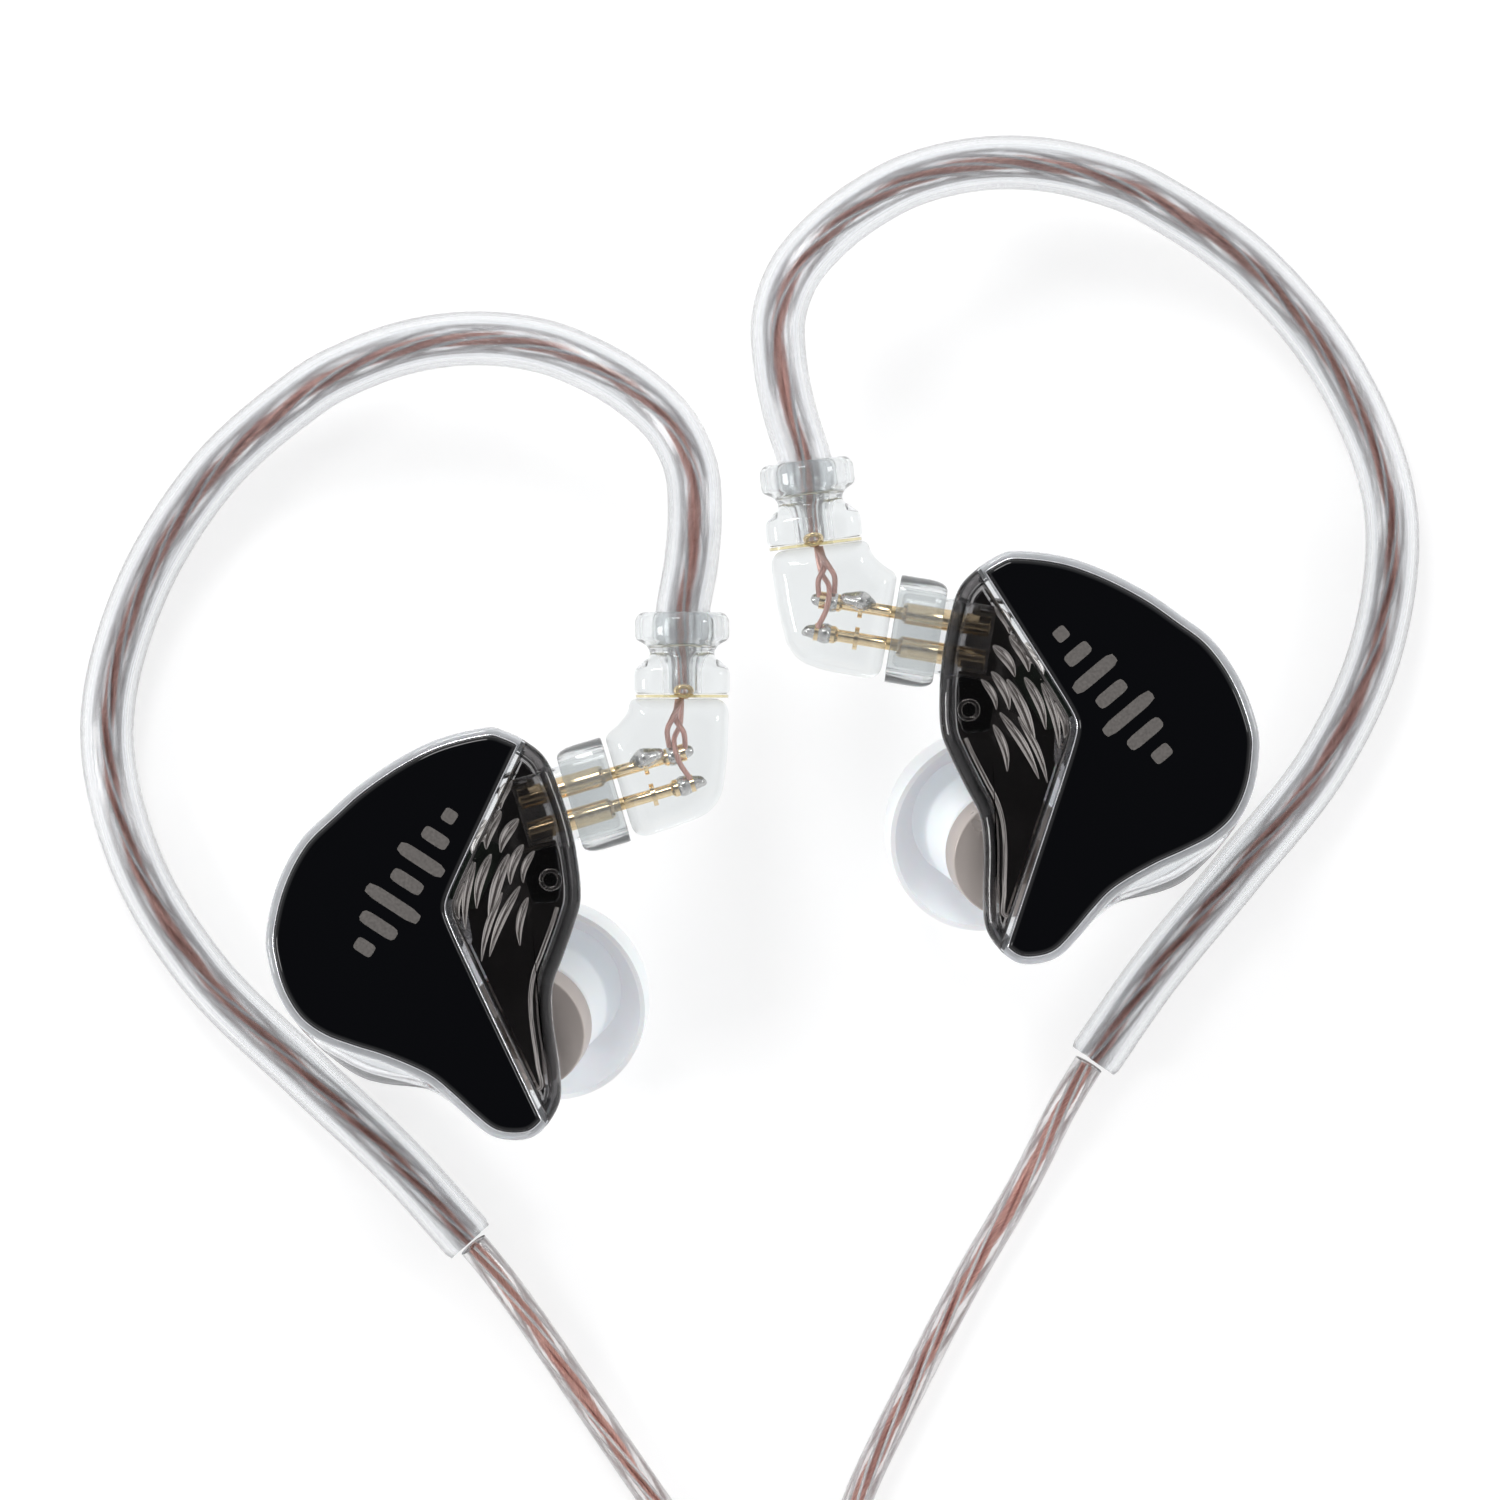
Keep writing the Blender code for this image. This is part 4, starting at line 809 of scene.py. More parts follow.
def make_rear_shell(side, finish):
    """Bowl of an outline that shrinks as cos(t)^0.8 while it sinks as sin(t), walls up to the rim, then
    the same again a wall inside. The nozzle's seat and the plug's window are cut out."""
    count, wall = 200, 1.0 * MM
    rim, waist = rim_outline(count), waist_outline(count)

    def bowl(outline, bottom):
        turn = np.linspace(math.radians(87.0), 0.0, 22)[:, None, None]
        plan = np.array(BELLY_CENTRE) + (outline[None] - BELLY_CENTRE) * np.cos(turn) ** 0.8
        z = WAIST_Z - (WAIST_Z - bottom) * np.sin(turn)
        return np.concatenate([plan, z + 0.0 * plan[:, :, :1]], axis=2)

    def wall_up(low, high, top):
        share = np.linspace(0.0, 1.0, 8)[1:, None, None]
        ease = share * share * (3 - 2 * share)
        plan = low[None] + (high - low)[None] * ease
        return np.concatenate([plan, WAIST_Z + (top - WAIST_Z) * share + 0.0 * plan[:, :, :1]], axis=2)

    edge = 0.15 * MM
    outside = np.concatenate([bowl(waist, BELLY_Z), wall_up(waist, rim, RIM_Z - edge)])
    lip = np.stack([at_height(inset(rim, edge), RIM_Z), at_height(inset(rim, wall - edge), RIM_Z)])
    inner_rim, inner_waist = inset(rim, wall), inset(waist, wall)
    inside = np.concatenate([
        bowl(inner_waist, BELLY_Z + wall), wall_up(inner_waist, inner_rim, RIM_Z - edge),
    ])
    part = skin(np.concatenate([outside, lip, inside[::-1]]))
    shell = add_piece(
        f"{side}_clear_shell", [to_world(side, part)], finish["shell"], f"{side}_earpiece",
        [f"{side}_rear_shell"],
    )
    gap = 0.15 * MM
    bore = NOZZLE_ROOT_RADIUS + gap
    seat = turned(((-5.0 * MM, bore), (2.0 * MM, bore)), nozzle_frame())
    window = squircle(TOWER_HALF_WIDTH + gap, TOWER_HALF_HEIGHT + gap, 4.5, 48)
    window = lofted([window, window], (-3.2 * MM, 2.0 * MM), connector_frame())
    cut_away(shell, to_world(side, seat), to_world(side, window))


def make_cover(side, finish):
    """Clear rim tray under the faceplate, and the smoky window beside it with a rounded edge."""
    rim, groove = rim_outline(260), 0.12 * MM
    edge = 0.32 * MM

    def ring(back_rim, back_line, z, window):
        return at_height(part_of(inset(rim, back_rim), back_line, window, 150, 70), z)

    tray = [ring(0.0, groove, COVER_LOW, False), ring(0.0, groove, COVER_HIGH - edge, False)]
    tray += [
        ring(edge * (1 - math.cos(t)), groove, COVER_HIGH - edge * (1 - math.sin(t)), False)
        for t in (0.5, 1.0, math.pi / 2)
    ]
    tray += [
        ring(0.4 * MM, groove, COVER_HIGH, False), ring(0.4 * MM, groove, COVER_LOW + 0.55 * MM, False),
    ]
    add_piece(
        f"{side}_rim_tray", [to_world(side, skin(np.stack(tray)))], finish["rim"], f"{side}_earpiece",
        [f"{side}_cover_shell"],
    )
    edge = 0.75 * MM
    pane = [ring(0.0, groove, COVER_LOW, True), ring(0.0, groove, COVER_HIGH - edge, True)]
    pane += [
        ring(edge * (1 - math.cos(t)), groove + 0.3 * edge * (1 - math.cos(t)),
             COVER_HIGH - edge * (1 - math.sin(t)), True)
        for t in np.linspace(0.2, math.pi / 2, 7)
    ]
    pane += [ring(edge + 0.1 * MM, groove + 0.35 * MM, COVER_HIGH, True)]
    add_piece(
        f"{side}_window", [to_world(side, skin(np.stack(pane)))], finish["smoke"], f"{side}_earpiece",
        [f"{side}_cover_shell"],
    )


def make_faceplate(side, finish):
    """Flat plate whose edge is a quarter circle, with a ring just inside it that keeps the top flat."""
    rim, edge = rim_outline(260), 0.3 * MM

    def ring(back, z):
        return at_height(part_of(inset(rim, 0.55 * MM + back), 0.3 * MM + back, False, 150, 70), z)

    rows = [ring(0.0, PLATE_LOW), ring(0.0, PLATE_HIGH - edge)]
    rows += [
        ring(edge * (1 - math.cos(t)), PLATE_HIGH - edge * (1 - math.sin(t)))
        for t in np.linspace(0.15, math.pi / 2, 8)
    ]
    rows += [ring(edge + 0.04 * MM, PLATE_HIGH), ring(edge + 0.4 * MM, PLATE_HIGH)]
    add_piece(
        f"{side}_black_plate", [to_world(side, skin(np.stack(rows)))], finish["black"], f"{side}_earpiece",
        [f"{side}_faceplate"],
    )


def make_bead(side, finish):
    """Thin polished bead round the plate, which also draws the line between plate and window."""
    ring = part_of(inset(rim_outline(300), 0.5 * MM), 0.3 * MM, False, 220, 90)
    ring = at_height(ring, PLATE_HIGH - 0.4 * MM)
    padded = np.vstack([ring[-2:], ring, ring[:2]])
    ring = skin(tube_rings(padded, 0.08 * MM, 10)[2:-2], loop=True)
    add_piece(
        f"{side}_plate_bead", [to_world(side, ring)], finish["bead"], f"{side}_earpiece",
    )


def make_level_bars(side, finish):
    """Seven round-ended bars, like those of a sound meter, across a slanted line on the plate."""
    heading = math.radians(57.0)
    middle_x, middle_y = -10.1 * MM, -4.9 * MM
    lengths, spacing = (1.3, 2.6, 3.9, 2.2, 3.3, 1.8, 0.9), 1.62 * MM
    bars = []
    for number, length in enumerate(lengths):
        reach = (number - 3) * spacing
        place = (
            middle_x + reach * math.cos(heading), middle_y + reach * math.sin(heading),
            PLATE_HIGH - 0.01 * MM,
        )
        matrix = Matrix.Translation(place) @ Matrix.Rotation(heading, 4, "Z")
        outline = squircle(0.43 * MM, length / 2 * MM, 5.0, 40)
        bars.append(to_world(side, lofted([outline, outline], (0.0, 0.03 * MM), matrix)))
    add_piece(f"{side}_level_bars", bars, finish["print"], f"{side}_earpiece")


def make_deck(side, finish):
    """Dark floor under the window: one outline shrunk to its middle in rows, whose height falls as a smooth
    step of y towards the plug."""
    outline = part_of(inset(rim_outline(260), 1.1 * MM), 0.5 * MM, True, 90, 50)
    centre = outline.mean(axis=0)
    size = np.linspace(1.0, 0.03, 14)[:, None, None]
    plan = centre + (outline - centre)[None] * size
    share = np.clip((plan[:, :, 1] + 7.0 * MM) / (5.0 * MM), 0.0, 1.0)
    top = RIM_Z - 2.5 * MM - 1.5 * MM * share * share * (3 - 2 * share)
    rows = [np.concatenate([plan[0], (top[0] - 0.5 * MM)[:, None]], axis=1)]
    rows += [np.concatenate([flat, z[:, None]], axis=1) for flat, z in zip(plan, top)]
    add_piece(
        f"{side}_deck", [to_world(side, skin(np.stack(rows)))], finish["deck"], f"{side}_earpiece",
    )


def make_inner_lip(side, finish):
    """Thin bright rod along the inner edge of the window, hooked at its lower end; its glow is a painted
    highlight.
    """
    lip = inset(rim_outline(400), 1.35 * MM)
    lip = lip[(lip[:, 1] < -6.4 * MM) & (lip[:, 1] > -17.2 * MM) & (lip[:, 0] > -2.9 * MM)]
    hooked = np.array(((-1.75, -17.6), (-2.0, -17.85), (-2.25, -17.75), (-2.3, -17.3))) * MM
    lip = np.vstack([lip[np.argsort(-lip[:, 1])][::6], hooked])
    path = at_height(smooth_curve(lip, 110), RIM_Z - 0.35 * MM)
    lip = skin(tube_rings(path, 0.13 * MM, 10), along=distances(path))
    add_piece(
        f"{side}_inner_lip", [to_world(side, lip)], finish["resin"], f"{side}_earpiece",
    )


def make_vent(side, finish):
    """Dark block with a small turned ring on it, round the vent."""
    block = ((-2.5, -2.9), (-0.85, -2.6), (-0.5, -4.9), (-0.7, -6.2), (-2.3, -6.3), (-2.8, -4.6))
    block = filleted(np.array(block)[::-1] * MM, 0.35 * MM, 6)
    heights = (RIM_Z - 3.0 * MM, RIM_Z - 1.35 * MM, RIM_Z - 1.25 * MM)
    outlines = (block, block, block.mean(axis=0) + (block - block.mean(axis=0)) * 0.94)
    part = lofted(outlines, heights)
    add_piece(
        f"{side}_vent_block", [to_world(side, part)], finish["black"], f"{side}_earpiece",
    )
    profile = filleted(((-1.2, 0.42), (-1.2, 0.72), (-0.25, 0.72), (-0.25, 0.42)), 0.1) * MM
    ring = turned(profile, Matrix.Translation((*VENT_CENTRE, RIM_Z)), 48, loop=True)
    add_piece(
        f"{side}_vent", [to_world(side, ring)], finish["tin"], f"{side}_earpiece", [f"{side}_vent_ring"],
    )


def make_ribs(side, finish):
    """Smoky ribs beside the sockets: (place across, start, end) along the pins."""
    ribs = []
    spans = ((3.45, -4.7, -3.4), (2.75, -4.9, -2.7), (2.0, -5.0, -2.2), (-2.1, -4.0, -1.5))
    for across, start, end in spans:
        rib = squircle(0.16 * MM, 0.85 * MM, 4.0, 20)
        frame_here = connector_frame(across * MM) @ Matrix.Translation((0.0, 0.7 * MM, 0.0))
        ribs.append(to_world(side, lofted([rib, rib], (start * MM, end * MM), frame_here)))
    add_piece(f"{side}_ribs", ribs, finish["rib"], f"{side}_earpiece")


def make_resin(side, finish):
    """Drops of set resin that point down the window, each a bent tube whose radius runs as sin(t)^0.55, and
    a thin glowing tube along the ridge of each, a painted highlight. A drop is (x and y of its start, of its
    end, radius)."""
    drops = (
        (-6.6, -5.0, -6.9, -7.3, 0.3), (-5.2, -1.1, -6.0, -2.6, 0.4), (-2.2, -3.0, -2.9, -5.0, 0.3),
        (-5.9, -3.7, -6.5, -7.9, 0.34), (-4.9, -3.2, -5.8, -6.6, 0.4), (-3.8, -3.2, -5.0, -7.9, 0.46),
        (-3.1, -5.2, -5.0, -9.6, 0.36), (-4.2, -5.6, -5.5, -9.9, 0.3), (-2.6, -5.9, -3.1, -8.9, 0.34),
        (-4.3, -0.5, -5.2, -2.9, 0.5), (-3.2, -1.0, -4.3, -3.1, 0.45), (-2.9, -2.6, -3.7, -5.1, 0.4),
        (-5.5, -1.9, -5.9, -3.5, 0.34), (-3.6, 1.4, -4.3, -0.4, 0.42),
    )
    parts, painted_glints = [], []
    for x0, y0, x1, y1, width in drops:
        share = np.linspace(0.0, 1.0, 20)
        path = np.column_stack([
            x0 + (x1 - x0) * share - 0.25 * np.sin(share * math.pi), y0 + (y1 - y0) * share, 0.0 * share,
        ]) * MM + (0.0, 0.0, RIM_Z - 0.75 * MM)
        radius = width * MM * np.sin(np.clip(share, 0.012, 0.988) * math.pi) ** 0.55 * (1.0 - 0.55 * share)
        parts.append(to_world(side, tube(path, radius, 14)))
        ridge = path[4:15] + np.array((-0.35, 0.1, 0.85)) * radius[4:15, None]
        swell = 0.05 + 0.2 * np.sin(share[:11] / share[10] * 3.1)
        painted_glints.append(to_world(side, tube(ridge, radius[4:15] * swell, 8)))
    add_piece(f"{side}_glints", painted_glints, finish["painted_glint"], f"{side}_earpiece")
    add_piece(f"{side}_resin_drops", parts, finish["resin"], f"{side}_earpiece")


def make_nozzle(side, finish):
    """Turned tube with a wide root and a small lip, and a domed screen of fine mesh in its end."""
    root = NOZZLE_ROOT_RADIUS / MM
    profile = (
        (-3.0, 1.9), (-3.0, root), (-1.0, root), (-0.3, 3.1), (-0.3, 2.6), (4.2, 2.6), (4.5, 2.8),
        (5.2, 2.8), (5.2, 2.1), (4.6, 2.1), (4.6, 1.9),
    )
    part = turned(filleted(np.array(profile), 0.12) * MM, nozzle_frame(), 96, loop=True)
    add_piece(
        f"{side}_nozzle_tube", [to_world(side, part)], finish["nozzle"], f"{side}_earpiece",
        [f"{side}_nozzle"],
    )
    radius = np.linspace(1.93, 0.05, 8)
    dome = np.column_stack([5.05 - 0.12 * (radius / 1.93) ** 2, radius])
    profile = np.vstack([[[4.75, 0.05], [4.75, 1.93]], dome]) * MM
    add_piece(
        f"{side}_screen", [to_world(side, turned(profile, nozzle_frame(), 64))], finish["steel"],
        f"{side}_earpiece", [f"{side}_nozzle_screen"],
    )


def make_eartip(side, finish):
    """Turned mushroom: a core sleeve, and a dome whose radius falls as cos(t)^0.75 while its height runs as
    sin(t)."""
    bore, wall, radius, skirt, end = 2.95, 0.7, 6.4, 2.7, 7.5
    core = bore + wall
    turn = np.linspace(0.0, math.radians(86.0), 22)
    outer = np.column_stack([
        skirt + (end - skirt) * np.sin(turn), core + (radius - core) * np.cos(turn) ** 0.75,
    ])
    turn = turn[::-1]
    inner = np.column_stack([
        skirt + (end - skirt - wall * 1.6) * np.sin(turn),
        core + (radius - wall * 0.45 - core) * np.cos(turn) ** 0.75,
    ])
    root = [[0.05, bore], [0.0, bore + 0.3], [0.0, core - 0.15], [0.2, core]]
    mouth = [[end, core - 0.35], [end, bore + 0.12], [end - 0.2, bore]]
    profile = np.vstack([root, inner, outer, mouth])
    part = turned(profile * MM, nozzle_frame(), 120, loop=True)
    add_piece(
        f"{side}_soft_tip", [to_world(side, part)], finish["silicone"], f"{side}_eartip",
        [f"{side}_eartip"], sharp=60.0,
    )


# ---------------------------------------------------------------------------------------------------------
# Plug pieces
# ---------------------------------------------------------------------------------------------------------


def make_tower(side, finish):
    """The ear's tower with its two gold contacts moulded in."""
    outline = squircle(TOWER_HALF_WIDTH, TOWER_HALF_HEIGHT, 4.5, 64)
    small = outline * 0.95
    part = lofted(
        [small, outline, outline, small], (-3.2 * MM, -3.05 * MM, 2.35 * MM, 2.5 * MM), connector_frame(),
    )
    add_piece(
        f"{side}_tower", [to_world(side, part)], finish["shell"], f"{side}_earpiece",
        [f"{side}_socket_block"],
    )
    for letter, across in (("a", PIN_OFFSET), ("b", -PIN_OFFSET)):
        profile = filleted(((-2.9, 0.46), (-2.9, 0.62), (2.2, 0.62), (2.2, 0.46)), 0.06) * MM
        part = turned(profile, connector_frame(across), 40, loop=True)
        add_piece(
            f"{side}_contact_{letter}", [to_world(side, part)], finish["gold"], f"{side}_earpiece",
            [f"{side}_socket_{letter}"],
        )


def make_hood(side, finish):
    """Collar over the tower: a hollow rounded box with soft lips. Each row is (share of the wall from the
    inside to the outside, height)."""
    outer, inner = squircle(3.4 * MM, 2.5 * MM, 4.2, 96), squircle(2.7 * MM, 1.7 * MM, 4.5, 96)
    rows = (
        (0.35, 0.0), (0.6, 0.12), (0.82, 0.38), (0.95, 0.75), (1.0, 1.25), (1.0, 2.85), (0.96, 2.97),
        (0.85, 3.0), (0.1, 3.0), (0.0, 2.9), (0.0, 0.1),
    )
    outlines = [inner + (outer - inner) * share for share, _ in rows]
    part = lofted(outlines, [z * MM for _, z in rows], connector_frame(), loop=True)
    add_piece(
        f"{side}_collar", [to_world(side, part)], finish["plug"], "root", [f"{side}_plug_hood"],
    )


def make_plug_body(side, finish):
    """Angled moulding: one rounded outline whose edge turns over as a quarter circle at top and bottom."""
    cosine, sine = math.cos(CONNECTOR_HEADING), math.sin(CONNECTOR_HEADING)
    front, half = 3.25, 3.4
    corners = [(cosine * front + sine * half, sine * front - cosine * half)]
    corners += list(PLUG_OUTLINE)
    corners += [(cosine * front - sine * half, sine * front + cosine * half)]
    outline = filleted(np.array(corners), 1.1, 8)
    outline = evenly(np.vstack([outline, outline[:1]]), 181)[:-1] * MM
    middle, reach = np.array((6.4, 2.1)) * MM, np.array((3.9, 4.4)) * MM
    edge = 1.5 * MM

    def ring(back, z):
        return middle + (outline - middle) * (1.0 - back / reach), z

    turns = np.linspace(0.0, math.pi / 2, 9)
    rows = [ring(edge + 0.3 * MM, PLUG_LOW)]
    rows += [ring(edge * (1 - math.sin(t)), PLUG_LOW + edge * (1 - math.cos(t))) for t in turns]
    rows += [ring(edge * (1 - math.cos(t)), PLUG_HIGH - edge * (1 - math.sin(t))) for t in turns]
    rows += [ring(edge + 0.3 * MM, PLUG_HIGH)]
    part = lofted([row[0] for row in rows], [row[1] for row in rows])
    add_piece(
        f"{side}_elbow", [to_world(side, part)], finish["plug"], "root", [f"{side}_plug_body"],
        sharp=50.0,
    )


def make_pins(side, finish):
    """Gold pins with collars, solder on their tails, and copper wires that run up to the cable."""
    for letter, across in (("a", PIN_OFFSET), ("b", -PIN_OFFSET)):
        profile = (
            (-1.6, 0.02), (-1.6, 0.2), (-1.2, 0.39), (5.0, 0.39), (5.02, 0.72), (5.3, 0.72), (5.32, 0.39),
            (6.3, 0.39), (6.5, 0.55), (7.8, 0.55), (7.8, 0.02),
        )
        part = turned(np.array(profile) * MM, connector_frame(across), 36)
        add_piece(
            f"{side}_gold_pin_{letter}", [to_world(side, part)], finish["gold"], "root",
            [f"{side}_pin_{letter}"], sharp=30.0,
        )
    solder = []
    for across, reach, height in ((1.0, 7.3, 0.0), (-1.0, 7.4, 0.0), (1.35, 5.5, 0.35)):
        turn = np.linspace(0.03, math.pi - 0.03, 14)
        profile = np.column_stack([
            reach - 1.05 * np.cos(turn), 0.7 * np.sin(turn) * (1.0 - 0.3 * np.cos(turn * 1.5) ** 2),
        ])
        matrix = connector_frame(across * MM) @ Matrix.Translation((0.0, height * MM, 0.0))
        solder.append(to_world(side, turned(profile * MM, matrix, 24)))
    add_piece(f"{side}_solder", solder, finish["tin"], "root")

    z = CONNECTOR_Z / MM
    wires = (
        ((7.2, 3.3, z + 0.2), (7.1, 4.4, z + 0.8), (6.6, 5.2, z + 0.6), (6.9, 6.2, z + 0.2), (7.0, 7.4, z)),
        ((7.5, 1.5, z + 0.4), (6.8, 2.6, z + 0.9), (6.5, 3.9, z + 0.5), (6.9, 5.0, z - 0.2), (7.1, 7.4, z)),
        ((6.2, 3.5, z + 0.5), (6.1, 4.6, z + 1.1), (6.7, 5.6, z + 0.9), (7.2, 6.4, z + 0.3),
         (7.0, 7.5, z + 0.1)),
    )
    parts = [to_world(side, tube(smooth_curve(points, 40) * MM, 0.17 * MM, 10)) for points in wires]
    add_piece(f"{side}_plug_wires", parts, finish["copper"], "root")


def make_spool(side, finish):
    """Strain relief: rows of |x/a|^n + |y/b|^n = 1 from a rounded box to a neck and a round flange, then
    back down the bore. Each row is (height, half width, half depth, n / 10)."""
    rows = (
        (6.8, 3.0, 2.6, 0.5), (8.3, 3.0, 2.6, 0.5), (9.25, 1.95, 1.95, 0.2), (9.8, 2.2, 2.2, 0.2),
        (10.2, 2.95, 2.95, 0.2), (11.5, 2.95, 2.95, 0.2), (11.9, 2.6, 2.6, 0.2), (11.9, 1.85, 1.85, 0.2),
        (10.1, 1.85, 1.85, 0.2), (10.0, 1.2, 1.2, 0.2), (6.8, 1.2, 1.2, 0.2),
    )
    rows = filleted(np.array(rows), 0.35, 5)
    outlines = [squircle(a * MM, b * MM, n * 10, 80) for _, a, b, n in rows]
    part = lofted(outlines, rows[:, 0] * MM, relief_frame(), loop=True)
    add_piece(
        f"{side}_spool", [to_world(side, part)], finish["plug"], "root", [f"{side}_strain_relief"],
        sharp=50.0,
    )
    outer, inner = squircle(2.9 * MM, 2.5 * MM, 5.0, 64), squircle(1.15 * MM, 1.15 * MM, 2.0, 64)
    heights = (6.56, 6.74, 6.74, 6.56)
    seam = lofted((outer, outer, inner, inner), [z * MM for z in heights], relief_frame(), loop=True)
    add_piece(f"{side}_seam", [to_world(side, seam)], finish["seam"], "root")
    turn = np.linspace(0.0, 2 * math.pi, 12, endpoint=False)
    profile = np.column_stack([0.13 * np.sin(turn), 0.52 + 0.15 * np.cos(turn)]) * MM
    place = (RELIEF_X + 0.1 * MM, 6.95 * MM, CONNECTOR_Z + 1.35 * MM)
    matrix = Matrix.Translation(place) @ Matrix.Rotation(0.9, 4, "X")
    ring = turned(profile, matrix, 40, loop=True)
    add_piece(f"{side}_eyelet", [to_world(side, ring)], finish["gold"], "root")


# ---------------------------------------------------------------------------------------------------------
# Hooks and cords
# ---------------------------------------------------------------------------------------------------------


def strands(path, scale=1.0):
    """Three copper strands twisted closely round the middle, and looser silver wires outside them."""
    twist = bpy.context.scene.monitor_cords
    copper = [
        tube(wrapped(path, 0.16 * MM * scale, twist.copper_pitch, phase), 0.15 * MM * scale, 7)
        for phase in (0.0, 2.1, 4.2)
    ]
    silver = [
        tube(wrapped(path, 0.56 * MM * scale, twist.silver_pitch, phase), 0.085 * MM * scale, 6)
        for phase in (0.6, 1.5, 2.4, 3.3, 4.2, 5.1)
    ]
    return copper, silver


def make_hook(side, finish):
    """Clear sleeve with the cable inside it."""
    path = hook_path(280)
    part = sleeve(path, SLEEVE_RADIUS, SLEEVE_BORE)
    add_piece(
        f"{side}_sleeve", [to_world(side, part)], finish["sleeve"], "root", [f"{side}_ear_hook"],
    )
    heights = np.linspace(6.9, 10.2, 12) * MM
    start = np.column_stack([np.full(12, RELIEF_X), heights, np.full(12, CONNECTOR_Z)])
    path = evenly(np.vstack([start, path]), 290)
    add_piece(
        f"{side}_hook_jacket", [to_world(side, tube(path, SIDE_RADIUS * MM, 20))], finish["jacket"], "root",
        [f"{side}_hook_cable"],
    )
    for metal, parts in zip(("copper", "silver"), strands(path)):
        parts = [to_world(side, part) for part in parts]
        add_piece(f"{side}_hook_{metal}", parts, finish[metal])


def make_splitter(finish):
    """Turned clear barrel with a soft waist, where both side cords and the main cord meet."""
    profile = (
        (-3.5, 0.02), (-3.5, 1.5), (-2.9, 2.15), (-1.6, 2.15), (-1.3, 2.0), (-1.0, 2.15), (1.0, 2.15),
        (3.5, 1.5), (3.5, 0.02),
    )
    inner = filleted(np.array(profile[1:-1]), 0.25, 4)[4:-4]
    profile = np.vstack([profile[0], profile[1], inner, profile[-2], profile[-1]]) * MM
    low, high = SPLITTER_ENDS
    matrix = axis_frame((SPLITTER_X * MM, (low + high) / 2 * MM, 2.2 * MM), (0.0, 1.0, 0.0))
    return add_piece(
        "splitter_barrel", [turned(profile, matrix, 64)], finish["plug"], "root", ["y_splitter"],
    )


def make_tie(finish):
    """Closed strap round the wound bundle: a rounded loop of two lips, square to the turns. Each row is
    (share of the thickness from the inside to the outside, place across the strap)."""
    hole, half = 7.8, 2.25
    near, far = math.sqrt(hole**2 - half**2) - 0.3, 18.1
    height, thick = 11.9, 0.6
    inside = squircle((far - near) / 2 * MM, height / 2 * MM, 9.0, 120)
    outside = squircle(((far - near) / 2 + thick) * MM, (height / 2 + thick) * MM, 8.0, 120)
    rows = ((1.0, 0.1 - half), (1.0, half - 0.1), (0.8, half), (0.0, half), (0.0, -half), (0.8, -half))
    angle = math.radians(200.0)
    reach = (near + far) / 2
    centre = (
        (COIL_CENTRE[0] + reach * math.cos(angle)) * MM, (COIL_CENTRE[1] + reach * math.sin(angle)) * MM,
        (height / 2 + thick) * MM,
    )
    matrix = axis_frame(centre, (-math.sin(angle), math.cos(angle), 0.0))
    outlines = [inside + (outside - inside) * share for share, _ in rows]
    part = lofted(outlines, [z * MM for _, z in rows], matrix, loop=True)
    return add_piece("strap", [part], finish["strap"], "root", ["cable_tie"])


def make_jack(finish):
    """Plug at the far end: a clear rounded grip, a ribbed strain relief whose radius falls evenly with a
    cosine on it, and a turned shaft of three gold parts and two black rings."""
    x, y, z = JACK_CENTRE[0] * MM, JACK_CENTRE[1] * MM, 3.6 * MM
    outline = squircle(4.75 * MM, 4.5 * MM, 7.0, 96)
    edge, high = 0.8 * MM, 7.2 * MM
    turns = np.linspace(0.0, math.pi / 2, 6)
    rows = [(inset(outline, edge * (1 - math.sin(t))), edge * (1 - math.cos(t))) for t in turns]
    rows += [(inset(outline, edge * (1 - math.cos(t))), high - edge * (1 - math.sin(t))) for t in turns]
    part = lofted([row[0] for row in rows], [row[1] for row in rows], Matrix.Translation((x, y, 0.0)))
    grip = add_piece("jack_grip", [part], finish["plug"], "root", ["jack_body"], sharp=50.0)
    pieces = [grip]

    length, ribs = 3.3, 4
    along = np.linspace(0.0, length, 40)
    radius = 2.75 - 0.85 * along / length + 0.13 * np.cos(along / length * 2 * math.pi * ribs)
    profile = np.vstack([[[0.0, 0.02]], np.column_stack([along, radius]), [[length, 0.02]]]) * MM
    matrix = axis_frame((x + 4.9 * MM, y, z), (1.0, 0.0, 0.0))
    pieces.append(add_piece(
        "jack_ribs", [turned(profile, matrix, 56)], finish["plug"], "root", ["jack_strain_relief"],
    ))
    matrix = axis_frame((x, y, z), (0.0, 1.0, 0.0))
    shaft = (
        ("jack_shaft", "jack_sleeve", "gold", ((4.65, 1.75), (11.15, 1.75))),
        ("jack_band_rear", "jack_insulator_rear", "black", ((11.3, 1.7), (11.7, 1.7))),
        ("jack_middle", "jack_ring", "gold", ((11.85, 1.75), (14.15, 1.75))),
        ("jack_band_front", "jack_insulator_front", "black", ((14.3, 1.7), (14.7, 1.7))),
        ("jack_point", "jack_tip", "gold",
         ((14.85, 1.66), (15.35, 1.75), (16.05, 1.1), (16.65, 1.58), (17.25, 1.66), (18.65, 0.35))),
    )
    for name, node, colour, points in shaft:
        points = np.array(points)
        closed = np.vstack([[[points[0, 0], 0.02]], points, [[points[-1, 0], 0.02]]])
        fine = filleted(closed, 0.12, 4)[4:-4]
        profile = np.vstack([closed[:1], fine, closed[-1:]]) * MM
        pieces.append(add_piece(
            name, [turned(profile, matrix, 56)], finish[colour], "root", [node],
        ))
    return pieces


